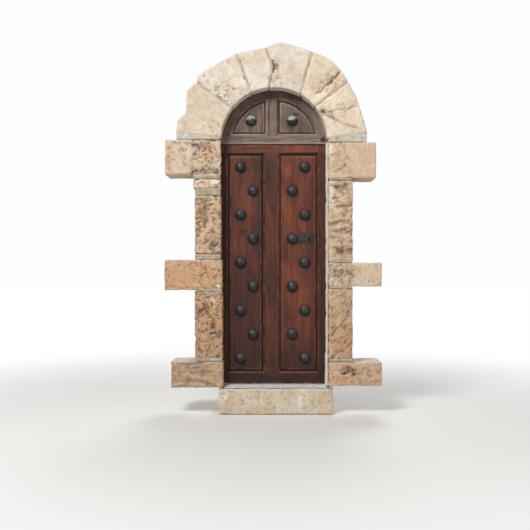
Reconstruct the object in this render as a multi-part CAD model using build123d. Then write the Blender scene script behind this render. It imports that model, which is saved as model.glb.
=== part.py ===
"""Arched wooden door in a limestone surround.

Millimetres, +Z up, the outside face looks towards -Y. The origin is the middle of the
sill's bed, halfway through the depth of the stone. The single leaf is hung on two strap
hinges and opens inwards, towards +Y. The tympanum above it is fixed.
"""
from build123d import *
from math import asin, cos, hypot, radians, sin, sqrt
import os

# Stone surround
STONE_DEPTH = 300.0
REVEAL_DEPTH = 120.0
OPENING_WIDTH = 880.0
NIB_WIDTH = 108.0
ARRIS = 9.0
SILL_LEFT_BEARING = 24.0
SILL_RIGHT_BEARING = 52.0
SILL_HEIGHT = 218.0
THRESHOLD_RISE = 18.0
THRESHOLD_SLOPE_LENGTH = 90.0
THRESHOLD_DEPTH = 210.0
THRESHOLD_FEATHER = 1.0
POST_SEAT_RISE = 26.0
MORTAR_RECESS = 7.0
VOUSSOIR_JOINT = 13.0
PLASTER_BEHIND_ARRIS = 1.0
PLASTER_EDGE = 2.5
PLASTER_SPLAY = 12.0
PLASTER_PATCH_THICKNESS = 6.0
PLASTER_PATCH_HEIGHT = 270.0
CUTTER_OVERRUN = 1.0
JOINT_OVERRUN = 60.0

# Jamb stones from the foot up: name, face height, bed joint below, face length,
# and how far the inner face stands into the opening. The stone with no height
# takes up what is left below the arch.
LEFT_COURSES = [
    ("left_foot_quoin", 222.0, 3.0, 440.0, 19.0),
    ("left_lower_upright", 561.0, 23.0, 241.0, 15.0),
    ("left_middle_quoin", 258.0, 6.0, 486.0, 10.0),
    ("left_upper_upright", None, 38.0, 228.0, 2.0),
    ("left_closer", 85.0, 51.0, 237.0, -2.0),
    ("left_impost_quoin", 300.0, 30.0, 470.0, -2.0),
]
RIGHT_COURSES = [
    ("right_foot_quoin", 203.0, 17.0, 452.0, -6.0),
    ("right_lower_upright", 593.0, 19.0, 211.0, -6.0),
    ("right_middle_quoin", 203.0, 14.0, 452.0, -6.0),
    ("right_upper_upright", None, 9.0, 211.0, -6.0),
    ("right_impost_quoin", 304.0, 11.0, 403.0, -6.0),
]
LEFT_SPRINGER_BED = 0.0
RIGHT_SPRINGER_BED = 22.0

# Arch joints, left to right: angle at the soffit, angle at the back of the arch
ARCH_JOINTS = [
    (177.3, 175.8),
    (141.7, 143.3),
    (115.1, 113.5),
    (95.7, 95.5),
    (60.8, 66.7),
    (40.2, 39.0),
    (2.3, 4.3),
]
ARCH_STONE_LENGTH = 360.0
CROWN_JOINT_BEND_ANGLE = -4.0
# Back of each voussoir, left to right: name, then its corners between the two joints as
# (angle, share of the radius to the back of the arch)
VOUSSOIRS = [
    ("left_springer", [(175.8, 1.029), (168.0, 1.029), (162.0, 0.969), (150.0, 1.051), (143.3, 1.022)]),
    ("left_haunch_voussoir", [(143.3, 1.012), (139.9, 1.057), (127.0, 1.002), (113.5, 1.002)]),
    ("left_crown_voussoir", [(113.5, 1.0), (95.5, 0.979)]),
    ("keystone", [(95.5, 0.979), (86.5, 1.034), (77.4, 1.016), (66.7, 1.011)]),
    ("right_haunch_voussoir", [(66.7, 1.011), (56.0, 1.032), (47.2, 1.016), (39.0, 0.988)]),
    ("right_springer", [(39.0, 0.988), (28.2, 0.971), (10.9, 0.961), (4.3, 0.974)]),
]

# Wooden frame and tympanum
POST_WIDTH = 52.0
FRAME_TO_STONE = 2.0
TIMBER_THICKNESS = 45.0
TRANSOM_HEIGHT = 65.0
TRANSOM_BELOW_CENTRE = 6.0
TRANSOM_TENON_LENGTH = 30.0
ARCH_RAIL_WIDTH = 119.0
TYMPANUM_MUNTIN_LEFT = 54.0
TYMPANUM_MUNTIN_RIGHT = 21.0

# Leaf
LEAF_SIDE_GAP = 4.0
LEAF_TOP_GAP = 6.0
LEAF_BOTTOM_GAP = 5.0
LEAF_HEIGHT = 2025.0
LEAF_TO_REBATE = 2.0
HINGE_STILE_WIDTH = 83.0
LOCK_STILE_WIDTH = 106.0
TOP_RAIL_HEIGHT = 65.0
BOTTOM_RAIL_HEIGHT = 83.0
MUNTIN_LEFT = 76.0
MUNTIN_RIGHT = 29.0
TENON_LENGTH = 60.0
TENON_SHOULDER = 14.0

# Raised and fielded panels and their mouldings
GROOVE_DEPTH = 12.0
GROOVE_WIDTH = 12.0
GROOVE_FROM_FACE = 18.0
PANEL_FIT = 1.0
FIELD_RISE = 14.0
MOULDING_WIDTH = 20.0
MOULDING_OVOLO = 13.0
BEVEL_WIDTH = 18.0

# Iron studs
STUD_RADIUS = 46.0
STUD_HEIGHT = 34.0
STUD_RIM = 3.0
STUD_SHANK_RADIUS = 5.0
SHANK_FIT = 0.2
CLENCH_LENGTH = 22.0
CLENCH_THICKNESS = 4.0
STUD_ROWS = 9
STUD_TOP_ROW_DROP = 191.5
STUD_BOTTOM_ROW_RISE = 213.5
# Stud columns as shares of a panel's width, from its left edge
LEFT_STUD_OUTER_SHARE = 0.372
LEFT_STUD_INNER_SHARE = 0.695
RIGHT_STUD_INNER_SHARE = 0.3535
RIGHT_STUD_OUTER_SHARE = 0.652
# Tympanum studs as shares of the arched rails' inner radius
TYMPANUM_STUD_RISE_SHARE = 0.499
TYMPANUM_LEFT_STUD_SHARE = 0.517
TYMPANUM_RIGHT_STUD_SHARE = 0.408
ROSETTE_RADIUS = 24.0
ROSETTE_HEIGHT = 12.0
ROSETTE_FROM_REVEAL = 29.0
ROSETTE_RISE = 37.0

# Strap hinges and pintles
HINGE_PIN_RADIUS = 8.0
HINGE_RUNNING_FIT = 0.05
HINGE_EYE_WALL = 7.0
HINGE_END_FLOAT = 0.3
HINGE_AXIS_FROM_LEAF = 10.0
STRAP_THICKNESS = 6.0
STRAP_HEIGHT = 44.0
STRAP_TIP_HEIGHT = 24.0
STRAP_LENGTH = 470.0
STRAP_NAILS = 4
STRAP_FIRST_NAIL_SHARE = 0.2
STRAP_LAST_NAIL_SHARE = 0.95
STRAP_NAIL_RADIUS = 7.0
STRAP_NAIL_HEIGHT = 3.5
STRAP_NAIL_RIM = 1.0
POST_BEHIND_EYE = 2.0
PINTLE_LUG_HEIGHT = 14.0
PINTLE_LUG_RADIUS = 14.0
PINTLE_PLATE_THICKNESS = 5.0
PINTLE_PLATE_WIDTH = 26.0
PINTLE_PLATE_HEIGHT = 92.0
PINTLE_PLATE_INSET = 1.0
PINTLE_PIN_STAND = 6.0

# Rim lock
KEY_ROW = 3
KEYHOLE_ABOVE_ROW = 3.0
KEYHOLE_SHARE = 0.759
KEYHOLE_RADIUS = 7.5
KEYHOLE_SLOT_WIDTH = 11.0
KEYHOLE_SLOT_LENGTH = 27.0
KEYHOLE_WOOD_CLEARANCE = 1.0
ESCUTCHEON_RADIUS = 38.0
ESCUTCHEON_TAIL_RADIUS = 34.0
ESCUTCHEON_FROM_STUD = 1.0
ESCUTCHEON_WAIST = 44.0
ESCUTCHEON_THICKNESS = 3.0
LOCK_CASE_LENGTH = 280.0
LOCK_CASE_BELOW_KEY = 68.0
LOCK_CASE_ABOVE_KEY = 76.0
LOCK_CASE_DEPTH = 40.0
LOCK_CASE_WALL = 3.0
LOCK_CASE_FROM_EDGE = 4.0
LOCK_BLOCK_LENGTH = 180.0
LOCK_BLOCK_HEIGHT = 176.0
BOLT_HEIGHT = 32.0
BOLT_THICKNESS = 14.0
BOLT_LENGTH = 240.0
BOLT_ABOVE_KEY = 30.0
BOLT_FIT = 0.5
BOLT_BEHIND_LEAF = 20.0
BOLT_NOTCH_WIDTH = 26.0
BOLT_NOTCH_DEPTH = 9.0
GUIDE_WIDTH = 14.0
GUIDE_WALL = 6.0
FRONT_GUIDE_FROM_END = 48.0
REAR_GUIDE_FROM_END = 218.0
TUMBLER_LENGTH = 130.0
TUMBLER_THICKNESS = 2.0
TUMBLER_WIDTH = 10.0
KEEPER_LENGTH = 40.0
KEEPER_WALL = 7.0
KEEPER_FIT = 1.5
KEEPER_FROM_REVEAL = 2.0
STILE_NAIL_FROM_JOINT = 7.5
STILE_NAIL_ABOVE_KEY = 17.0
STILE_NAIL_RADIUS = 10.0
STILE_NAIL_HEIGHT = 7.0
STILE_NAIL_RIM = 1.5
STILE_NAIL_SHANK_RADIUS = 4.0
STILE_NAIL_LENGTH = 40.0

# Levels and planes worked out from the sizes above
FACE_Y = -STONE_DEPTH / 2
BACK_Y = STONE_DEPTH / 2
REBATE_Y = FACE_Y + REVEAL_DEPTH
ARCH_RADIUS = OPENING_WIDTH / 2
ARCH_BACK_RADIUS = ARCH_RADIUS + ARCH_STONE_LENGTH
REBATE_X = ARCH_RADIUS + NIB_WIDTH
SILL_LEFT = ARCH_RADIUS + SILL_LEFT_BEARING
SILL_RIGHT = ARCH_RADIUS + SILL_RIGHT_BEARING
THRESHOLD_Z = SILL_HEIGHT + THRESHOLD_RISE
LEAF_BOTTOM = THRESHOLD_Z + LEAF_BOTTOM_GAP
LEAF_TOP = LEAF_BOTTOM + LEAF_HEIGHT
TRANSOM_BOTTOM = LEAF_TOP + LEAF_TOP_GAP
TRANSOM_TOP = TRANSOM_BOTTOM + TRANSOM_HEIGHT
ARCH_Z = TRANSOM_BOTTOM + TRANSOM_BELOW_CENTRE
POST_OUTER = REBATE_X - FRAME_TO_STONE
POST_INNER = POST_OUTER - POST_WIDTH
LEAF_X = POST_INNER - LEAF_SIDE_GAP
ARCH_RAIL_OUTER = POST_INNER + LEAF_SIDE_GAP
ARCH_RAIL_INNER = ARCH_RAIL_OUTER - ARCH_RAIL_WIDTH
ARCH_REBATE_RADIUS = ARCH_RAIL_OUTER + FRAME_TO_STONE
LEAF_FACE = REBATE_Y + LEAF_TO_REBATE
LEAF_BACK = LEAF_FACE + TIMBER_THICKNESS
TYMPANUM_FACE = REBATE_Y
TYMPANUM_BACK = TYMPANUM_FACE + TIMBER_THICKNESS
EYE_RADIUS = HINGE_PIN_RADIUS + HINGE_RUNNING_FIT + HINGE_EYE_WALL
HINGE_X = -LEAF_X - HINGE_AXIS_FROM_LEAF
HINGE_Y = LEAF_BACK + EYE_RADIUS
POST_BACK = LEAF_BACK - POST_BEHIND_EYE
TOP_HINGE_Z = LEAF_TOP - TOP_RAIL_HEIGHT / 2
BOTTOM_HINGE_Z = LEAF_BOTTOM + BOTTOM_RAIL_HEIGHT / 2
PANEL_BOTTOM = LEAF_BOTTOM + BOTTOM_RAIL_HEIGHT
PANEL_TOP = LEAF_TOP - TOP_RAIL_HEIGHT
STILE_LEFT = -LEAF_X + HINGE_STILE_WIDTH
STILE_RIGHT = LEAF_X - LOCK_STILE_WIDTH
BORDER = MOULDING_WIDTH + BEVEL_WIDTH
STUD_PITCH = (LEAF_HEIGHT - STUD_TOP_ROW_DROP - STUD_BOTTOM_ROW_RISE) / (STUD_ROWS - 1)
LEFT_PANEL_WIDTH = -MUNTIN_LEFT - STILE_LEFT
RIGHT_PANEL_WIDTH = STILE_RIGHT - MUNTIN_RIGHT
LEFT_STUD_OUTER = STILE_LEFT + LEFT_PANEL_WIDTH * LEFT_STUD_OUTER_SHARE
LEFT_STUD_INNER = STILE_LEFT + LEFT_PANEL_WIDTH * LEFT_STUD_INNER_SHARE
RIGHT_STUD_INNER = MUNTIN_RIGHT + RIGHT_PANEL_WIDTH * RIGHT_STUD_INNER_SHARE
RIGHT_STUD_OUTER = MUNTIN_RIGHT + RIGHT_PANEL_WIDTH * RIGHT_STUD_OUTER_SHARE
KEYHOLE_X = MUNTIN_RIGHT + RIGHT_PANEL_WIDTH * KEYHOLE_SHARE
KEYHOLE_Z = LEAF_TOP - STUD_TOP_ROW_DROP - KEY_ROW * STUD_PITCH + KEYHOLE_ABOVE_ROW
STILE_NAIL_X = STILE_RIGHT + STILE_NAIL_FROM_JOINT
STILE_NAIL_Z = KEYHOLE_Z + STILE_NAIL_ABOVE_KEY
BOLT_Z = KEYHOLE_Z + BOLT_ABOVE_KEY
BOLT_Y = LEAF_BACK + BOLT_BEHIND_LEAF
LOCK_CASE_RIGHT = LEAF_X - LOCK_CASE_FROM_EDGE
LOCK_CASE_LEFT = LOCK_CASE_RIGHT - LOCK_CASE_LENGTH
LOCK_CASE_BACK = LEAF_BACK + LOCK_CASE_DEPTH


def box(x0, x1, y0, y1, z0, z1):
    """A box between two corners, whichever way round each pair is given."""
    middle = Pos((x0 + x1) / 2, (y0 + y1) / 2, (z0 + z1) / 2)
    return middle * Box(abs(x1 - x0), abs(y1 - y0), abs(z1 - z0))


def slab(face, y0, y1):
    """A flat figure drawn in X and Z, given its thickness from y0 back to y1."""
    return extrude(Plane.XZ.offset(-y1) * face, y1 - y0, dir=(0, -1, 0))


def upright(face, z0, z1):
    """A figure drawn in plan, raised from z0 to z1."""
    return extrude(Plane.XY.offset(z0) * face, z1 - z0, dir=(0, 0, 1))


def rod(x, z, radius, y0, y1):
    """A round bar along Y."""
    return slab(Pos(x, z) * Circle(radius), y0, y1)


def polygon(*points):
    return Polygon(*points, align=None)


def rectangle(x0, x1, z0, z1):
    return Pos((x0 + x1) / 2, (z0 + z1) / 2) * Rectangle(x1 - x0, z1 - z0)


def arch_point(angle, radius):
    """A point at an angle from +X about the arch's centre."""
    return (radius * cos(radians(angle)), ARCH_Z + radius * sin(radians(angle)))


def eased(stone):
    """Wear round a stone's front arris."""
    front = stone.faces().filter_by(Axis.Y).sort_by(Axis.Y)[0]
    return chamfer(front.edges(), ARRIS)


def jamb_plan(side, inner, outer, recess=0.0):
    """Plan of a jamb course: a nib in front and the rebate for the frame behind it."""
    front = FACE_Y + recess
    back = BACK_Y - recess
    near = side * (inner + recess)
    far = side * (outer - recess)
    return polygon(
        (far, front), (near, front), (near, REBATE_Y),
        (side * REBATE_X, REBATE_Y), (side * REBATE_X, back), (far, back),
    )


def springer_bed_z(side):
    """Lowest point of the springer's bed on one side."""
    angle = ARCH_JOINTS[0][0] if side < 0 else ARCH_JOINTS[-1][0]
    return arch_point(angle, ARCH_RADIUS)[1]


def place_courses(side, courses, springer_bed):
    """Bottom, top, inner and outer reach of each jamb stone."""
    top = springer_bed_z(side) - VOUSSOIR_JOINT / 2 - springer_bed
    taken = sum((height or 0.0) + joint for _, height, joint, _, _ in courses)
    spare = top - SILL_HEIGHT - taken
    placed = []
    level = SILL_HEIGHT
    for name, height, joint, length, proud in courses:
        bottom = level + joint
        level = bottom + (height or spare)
        inner = ARCH_RADIUS - proud
        placed.append((name, bottom, level, inner, inner + length))
    return placed


def jamb_stones(side, placed):
    stones = {}
    for index, (name, bottom, top, inner, outer) in enumerate(placed):
        stone = eased(upright(jamb_plan(side, inner, outer), bottom, top))
        if index == 0:
            seat = box(side * POST_INNER, side * REBATE_X, REBATE_Y, POST_BACK,
                       bottom, SILL_HEIGHT + POST_SEAT_RISE)
            stone = stone + seat
        stones[name] = stone
    return stones


def jamb_mortar(side, placed):
    """Bed joints between the stones of one jamb, and under its foot stone."""
    beds = []
    sill_end = SILL_LEFT if side < 0 else SILL_RIGHT
    foot_inner = placed[0][3] + MORTAR_RECESS
    beds.append(box(side * foot_inner, side * (sill_end - MORTAR_RECESS),
                    FACE_Y + MORTAR_RECESS, REBATE_Y, SILL_HEIGHT, placed[0][1]))
    for lower, upper in zip(placed, placed[1:]):
        inner = max(lower[3], upper[3])
        outer = min(lower[4], upper[4])
        plan = jamb_plan(side, inner, outer, MORTAR_RECESS)
        beds.append(upright(plan, lower[2], upper[1]))
    return beds


def joint_line(index, start, reach):
    """Middle line of an arch joint, run from one radius to about another."""
    soffit_angle, back_angle = ARCH_JOINTS[index]
    line = [arch_point(soffit_angle, ARCH_RADIUS), arch_point(back_angle, ARCH_BACK_RADIUS)]
    if index == len(ARCH_JOINTS) // 2:
        middle = (soffit_angle + back_angle) / 2 + CROWN_JOINT_BEND_ANGLE
        line.insert(1, arch_point(middle, (ARCH_RADIUS + ARCH_BACK_RADIUS) / 2))
    return (
        [lengthened(line[1], line[0], ARCH_RADIUS - start)]
        + line[1:-1]
        + [lengthened(line[-2], line[-1], reach - ARCH_BACK_RADIUS)]
    )


def lengthened(from_point, to_point, extra):
    """The end of a line once it is carried on past to_point."""
    run_x = to_point[0] - from_point[0]
    run_z = to_point[1] - from_point[1]
    run = hypot(run_x, run_z)
    return (to_point[0] + run_x / run * extra, to_point[1] + run_z / run * extra)


def joint_strip(index, start, reach):
    """An arch joint drawn at its full thickness."""
    soffit_angle, back_angle = ARCH_JOINTS[index]
    soffit = arch_point(soffit_angle, ARCH_RADIUS)
    back = arch_point(back_angle, ARCH_BACK_RADIUS)
    run = hypot(back[0] - soffit[0], back[1] - soffit[1])
    shift_x = (soffit[1] - back[1]) / run * VOUSSOIR_JOINT / 2
    shift_z = (back[0] - soffit[0]) / run * VOUSSOIR_JOINT / 2
    line = joint_line(index, start, reach)
    one_side = [(x + shift_x, z + shift_z) for x, z in line]
    other_side = [(x - shift_x, z - shift_z) for x, z in reversed(line)]
    return polygon(*one_side, *other_side)


def arch_rebate():
    """The step behind the arch's nib that takes the arched rails and the transom."""
    round_part = rod(0, ARCH_Z, ARCH_REBATE_RADIUS, REBATE_Y, BACK_Y)
    square_part = box(-REBATE_X, REBATE_X, REBATE_Y, BACK_Y,
                      ARCH_Z - ARCH_RADIUS, TRANSOM_TOP + FRAME_TO_STONE)
    return round_part + square_part


def back_reach(index, end):
    """Radius to a voussoir's back where it meets a joint; end is 0 for its left, -1 for its right."""
    return ARCH_BACK_RADIUS * VOUSSOIRS[index][1][end][1]


def voussoir(index, back_corners):
    left_soffit = ARCH_JOINTS[index][0]
    right_soffit = ARCH_JOINTS[index + 1][0]
    corners = [arch_point(angle, ARCH_BACK_RADIUS * share) for angle, share in back_corners]
    left_line = joint_line(index, ARCH_RADIUS, back_reach(index, 0))
    right_line = joint_line(index + 1, ARCH_RADIUS, back_reach(index, -1))
    crown = arch_point((left_soffit + right_soffit) / 2, ARCH_RADIUS)
    outline = left_line[:-1] + corners + right_line[-2::-1]
    edges = [Line(a, b) for a, b in zip(outline, outline[1:])]
    edges.append(ThreePointArc(outline[-1], crown, outline[0]))
    face = make_face(edges)
    for joint in (index, index + 1):
        face = face - joint_strip(joint, ARCH_RADIUS - JOINT_OVERRUN, ARCH_BACK_RADIUS + JOINT_OVERRUN)
    return face


def arch_stones():
    rebate = arch_rebate()
    stones = {}
    for index, (name, back_corners) in enumerate(VOUSSOIRS):
        stone = eased(slab(voussoir(index, back_corners), FACE_Y, BACK_Y))
        stones[name] = stone - rebate
    return stones


def arch_mortar():
    rebate = arch_rebate()
    joints = []
    for index in range(1, len(ARCH_JOINTS) - 1):
        reach = min(back_reach(index - 1, -1), back_reach(index, 0))
        strip = joint_strip(index, ARCH_RADIUS + MORTAR_RECESS, reach - MORTAR_RECESS)
        joints.append(slab(strip, FACE_Y + MORTAR_RECESS, BACK_Y - MORTAR_RECESS) - rebate)
    return joints


def springer_mortar(side, placed):
    """The wedge of mortar between a jamb's top stone and the springer above it."""
    joint = 0 if side < 0 else len(ARCH_JOINTS) - 1
    back_radius = back_reach(0, 0) if side < 0 else back_reach(-1, -1)
    inner = placed[-1][3] + MORTAR_RECESS
    line = joint_line(joint, inner, back_radius - MORTAR_RECESS)
    strip = joint_strip(joint, inner, back_radius - MORTAR_RECESS)
    far = min(abs(line[1][0]), placed[-1][4] - MORTAR_RECESS)
    top = placed[-1][2]
    under = polygon((side * inner, top), (side * far, top), (side * far, line[1][1]),
                    (side * inner, line[0][1]))
    room = rectangle(-far, far, top, line[1][1] + VOUSSOIR_JOINT)
    return slab((under + strip) & room, FACE_Y + MORTAR_RECESS, BACK_Y - MORTAR_RECESS) - arch_rebate()


def sill_stone():
    sill = box(-SILL_LEFT, SILL_RIGHT, FACE_Y, BACK_Y, 0, SILL_HEIGHT)
    return eased(sill)


def threshold_cement(left_inner, right_inner):
    """Weathered cement that slopes up from the sill's arris to the foot of the leaf."""
    behind = FACE_Y + THRESHOLD_DEPTH
    front = FACE_Y + ARRIS
    left_end = min(SILL_LEFT, POST_INNER)
    right_end = min(SILL_RIGHT, POST_INNER)
    plan = polygon(
        (-left_inner, front), (right_inner, front), (right_inner, REBATE_Y),
        (right_end, REBATE_Y), (right_end, behind), (-left_end, behind),
        (-left_end, REBATE_Y), (-left_inner, REBATE_Y),
    )
    cement = upright(plan, SILL_HEIGHT, THRESHOLD_Z)
    over = CUTTER_OVERRUN
    slope = polygon(
        (front - over, SILL_HEIGHT + THRESHOLD_FEATHER), (front + THRESHOLD_SLOPE_LENGTH, THRESHOLD_Z),
        (front + THRESHOLD_SLOPE_LENGTH, THRESHOLD_Z + over), (front - over, THRESHOLD_Z + over),
    )
    wedge = extrude(Plane.YZ.offset(-OPENING_WIDTH) * slope, 2 * OPENING_WIDTH)
    return cement - wedge


def reveal_plaster(placed):
    """Lime plaster on the right reveal, splayed back to the frame, patched at the foot."""
    wall = placed[0][3]
    front = FACE_Y + ARRIS + PLASTER_BEHIND_ARRIS
    skim = polygon((wall, front), (wall - PLASTER_EDGE, front),
                   (wall - PLASTER_SPLAY, REBATE_Y), (wall, REBATE_Y))
    patch = polygon((wall, front), (wall - PLASTER_EDGE, front),
                    (wall - PLASTER_SPLAY - PLASTER_PATCH_THICKNESS, REBATE_Y), (wall, REBATE_Y))
    foot = THRESHOLD_Z
    return upright(skim, foot, placed[-1][2]) + upright(patch, foot, foot + PLASTER_PATCH_HEIGHT)


def stone_surround():
    left = place_courses(-1, LEFT_COURSES, LEFT_SPRINGER_BED)
    right = place_courses(1, RIGHT_COURSES, RIGHT_SPRINGER_BED)
    nodes = {"sill_stone": sill_stone()}
    nodes["threshold_cement"] = threshold_cement(left[0][3], right[0][3])
    nodes.update(jamb_stones(-1, left))
    nodes.update(jamb_stones(1, right))
    nodes.update(arch_stones())
    nodes["left_jamb_mortar"] = jamb_mortar(-1, left)
    nodes["right_jamb_mortar"] = jamb_mortar(1, right)
    nodes["arch_mortar"] = arch_mortar() + [springer_mortar(-1, left), springer_mortar(1, right)]
    nodes["right_reveal_plaster"] = reveal_plaster(right)
    return nodes


def groove(face, front):
    """The panel groove run round a figure's edge, cut behind a timber's front face."""
    return slab(face, front + GROOVE_FROM_FACE, front + GROOVE_FROM_FACE + GROOVE_WIDTH)


def raised_panel(outline, front):
    """A panel held in grooves, its field raised in front by a bevel.

    outline(inset) draws the panel's opening, drawn in by inset all round.
    """
    seat = front + GROOVE_FROM_FACE
    board = slab(outline(PANEL_FIT - GROOVE_DEPTH), seat, seat + GROOVE_WIDTH)
    foot = Plane.XZ.offset(-seat) * outline(MOULDING_WIDTH)
    field = Plane.XZ.offset(FIELD_RISE - seat) * outline(BORDER)
    return board + loft([foot.face(), field.face()], ruled=True)


def ovolo():
    """Section of a moulding: reach in from the opening's edge, depth behind the face."""
    reach = MOULDING_WIDTH
    depth = GROOVE_FROM_FACE
    turn = MOULDING_OVOLO
    mid = turn * (1 - sqrt(0.5))
    return make_face([
        Line((0, 0), (reach - turn, 0)),
        ThreePointArc((reach - turn, 0), (reach - mid, mid), (reach, turn)),
        Line((reach, turn), (reach, depth)),
        Line((reach, depth), (0, depth)),
        Line((0, depth), (0, 0)),
    ])


def moulding_length(start, end, front):
    """One straight mitred length. start and end are (outer, inner) corner points."""
    (outer_a, inner_a), (outer_b, inner_b) = start, end
    run = Vector(outer_b[0] - outer_a[0], 0, outer_b[1] - outer_a[1])
    across = Vector(inner_a[0] - outer_a[0], 0, inner_a[1] - outer_a[1])
    along = run.normalized()
    inward = (across - along * across.dot(along)).normalized()
    way = inward.cross(Vector(0, 1, 0))
    origin = outer_a if way.dot(along) > 0 else outer_b
    place = Plane(origin=(origin[0], front, origin[1]), x_dir=inward, z_dir=way)
    length = extrude(place * ovolo(), run.length)
    return length & slab(polygon(outer_a, outer_b, inner_b, inner_a), front, front + GROOVE_FROM_FACE)


def moulding_arc(front):
    """The moulding turned once round the inside of the arched rails."""
    place = Plane(origin=(ARCH_RAIL_INNER, front, ARCH_Z), x_dir=(-1, 0, 0), z_dir=(0, 0, -1))
    return revolve(place * ovolo(), Axis((0, 0, ARCH_Z), (0, 1, 0)))


def leaf_outline(left, right):
    """Outline of a leaf panel's opening, drawn in by an inset."""
    def drawn_in(inset):
        return rectangle(left + inset, right - inset, PANEL_BOTTOM + inset, PANEL_TOP - inset)
    return drawn_in


def leaf_moulding(left, right):
    def corner(x, z, turn_x, turn_z):
        return ((x, z), (x + turn_x * MOULDING_WIDTH, z + turn_z * MOULDING_WIDTH))
    corners = [
        corner(left, PANEL_BOTTOM, 1, 1), corner(right, PANEL_BOTTOM, -1, 1),
        corner(right, PANEL_TOP, -1, -1), corner(left, PANEL_TOP, 1, -1),
    ]
    turns = zip(corners, corners[1:] + corners[:1])
    return [moulding_length(start, end, LEAF_FACE) for start, end in turns]


def tympanum_outline(side, muntin_side):
    """Outline of a tympanum panel's opening: muntin, transom and arched rail."""
    def drawn_in(inset):
        base = TRANSOM_TOP + inset
        edge = muntin_side + inset
        radius = ARCH_RAIL_INNER - inset
        return (Pos(0, ARCH_Z) * Circle(radius)) & rectangle(
            min(side * edge, side * radius), max(side * edge, side * radius), base, ARCH_Z + radius)
    return drawn_in


def tympanum_moulding(side, muntin_side):
    def foot_corner(inset):
        base = TRANSOM_TOP + inset
        reach = sqrt((ARCH_RAIL_INNER - inset) ** 2 - (base - ARCH_Z) ** 2)
        return (side * reach, base)

    def heel_corner(inset):
        return (side * (muntin_side + inset), TRANSOM_TOP + inset)

    def top_corner(inset):
        edge = muntin_side + inset
        rise = sqrt((ARCH_RAIL_INNER - inset) ** 2 - edge ** 2)
        return (side * edge, ARCH_Z + rise)
    corners = [(corner(0.0), corner(MOULDING_WIDTH)) for corner in (foot_corner, heel_corner, top_corner)]
    back = TYMPANUM_FACE + GROOVE_FROM_FACE
    arc = moulding_arc(TYMPANUM_FACE) & slab(tympanum_outline(side, muntin_side)(0.0), TYMPANUM_FACE, back)
    lengths = []
    for start, end in zip(corners, corners[1:]):
        lengths.append(moulding_length(start, end, TYMPANUM_FACE))
        straight = polygon(start[0], end[0], end[1], start[1])
        arc = arc - slab(straight, TYMPANUM_FACE, back)
    return lengths + [arc]


def posts():
    nodes = {}
    foot = SILL_HEIGHT + POST_SEAT_RISE
    for side, name in ((-1, "hinge_post"), (1, "lock_post")):
        nodes[name] = box(side * POST_INNER, side * POST_OUTER, REBATE_Y, POST_BACK,
                          foot, TRANSOM_TOP) - transom_tenon(side)
    return nodes


def transom_tenon(side):
    shoulder = TENON_SHOULDER
    y0 = TYMPANUM_FACE + GROOVE_FROM_FACE
    return box(side * POST_INNER, side * (POST_INNER + TRANSOM_TENON_LENGTH),
               y0, y0 + GROOVE_WIDTH, TRANSOM_BOTTOM + shoulder, TRANSOM_TOP - shoulder)


def tympanum_grooves():
    """Both panel grooves of the tympanum as one cutter."""
    left = tympanum_outline(-1, TYMPANUM_MUNTIN_LEFT)(-GROOVE_DEPTH)
    right = tympanum_outline(1, TYMPANUM_MUNTIN_RIGHT)(-GROOVE_DEPTH)
    return groove(left + right, TYMPANUM_FACE)


def tympanum_frame():
    """Transom, muntin and the two arched rails that meet over the muntin."""
    grooves = tympanum_grooves()
    transom = box(-POST_INNER, POST_INNER, TYMPANUM_FACE, TYMPANUM_BACK, TRANSOM_BOTTOM, TRANSOM_TOP)
    transom = transom + transom_tenon(-1) + transom_tenon(1) - grooves
    middle = (TYMPANUM_MUNTIN_RIGHT - TYMPANUM_MUNTIN_LEFT) / 2
    muntin_face = rectangle(-TYMPANUM_MUNTIN_LEFT, TYMPANUM_MUNTIN_RIGHT,
                            TRANSOM_TOP, ARCH_Z + ARCH_RAIL_INNER)
    muntin_face = muntin_face & (Pos(0, ARCH_Z) * Circle(ARCH_RAIL_INNER))
    muntin = slab(muntin_face, TYMPANUM_FACE, TYMPANUM_BACK) - grooves
    nodes = {"transom_rail": transom - rosette_hole(), "tympanum_muntin": muntin}
    ring = (Pos(0, ARCH_Z) * Circle(ARCH_RAIL_OUTER)) - (Pos(0, ARCH_Z) * Circle(ARCH_RAIL_INNER))
    top = ARCH_Z + ARCH_RAIL_OUTER
    halves = (
        ("arched_rail_left", rectangle(-ARCH_RAIL_OUTER, middle, TRANSOM_TOP, top)),
        ("arched_rail_right", rectangle(middle, ARCH_RAIL_OUTER, TRANSOM_TOP, top)),
    )
    for name, half in halves:
        nodes[name] = slab(ring & half, TYMPANUM_FACE, TYMPANUM_BACK) - grooves
    return nodes


def stud_profile(radius, height, rim):
    """Half section of a forged dome head, drawn as reach from the axis and rise from the wood."""
    dome = (radius ** 2 + (height - rim) ** 2) / (2 * (height - rim))
    half_turn = asin(radius / dome) / 2
    shoulder = (dome * sin(half_turn), height - dome * (1 - cos(half_turn)))
    return make_face([
        Line((0, 0), (radius, 0)),
        Line((radius, 0), (radius, rim)),
        ThreePointArc((radius, rim), shoulder, (0, height)),
        Line((0, height), (0, 0)),
    ])


def dome_head(x, z, front, radius, height, rim):
    """A dome head whose flat back lies on the plane y = front."""
    turned = revolve(stud_profile(radius, height, rim), Axis.Y)
    return Pos(x, front, z) * Rot(X=180) * turned


def stud(x, z, wood_front, wood_back):
    """A stud whose shank runs through the panel and is clenched over behind it."""
    head = dome_head(x, z, wood_front, STUD_RADIUS, STUD_HEIGHT, STUD_RIM)
    shank = rod(x, z, STUD_SHANK_RADIUS, wood_front, wood_back + CLENCH_THICKNESS)
    clench = box(x - STUD_SHANK_RADIUS, x + STUD_SHANK_RADIUS, wood_back,
                 wood_back + CLENCH_THICKNESS, z, z + CLENCH_LENGTH)
    return head + shank + clench


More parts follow.
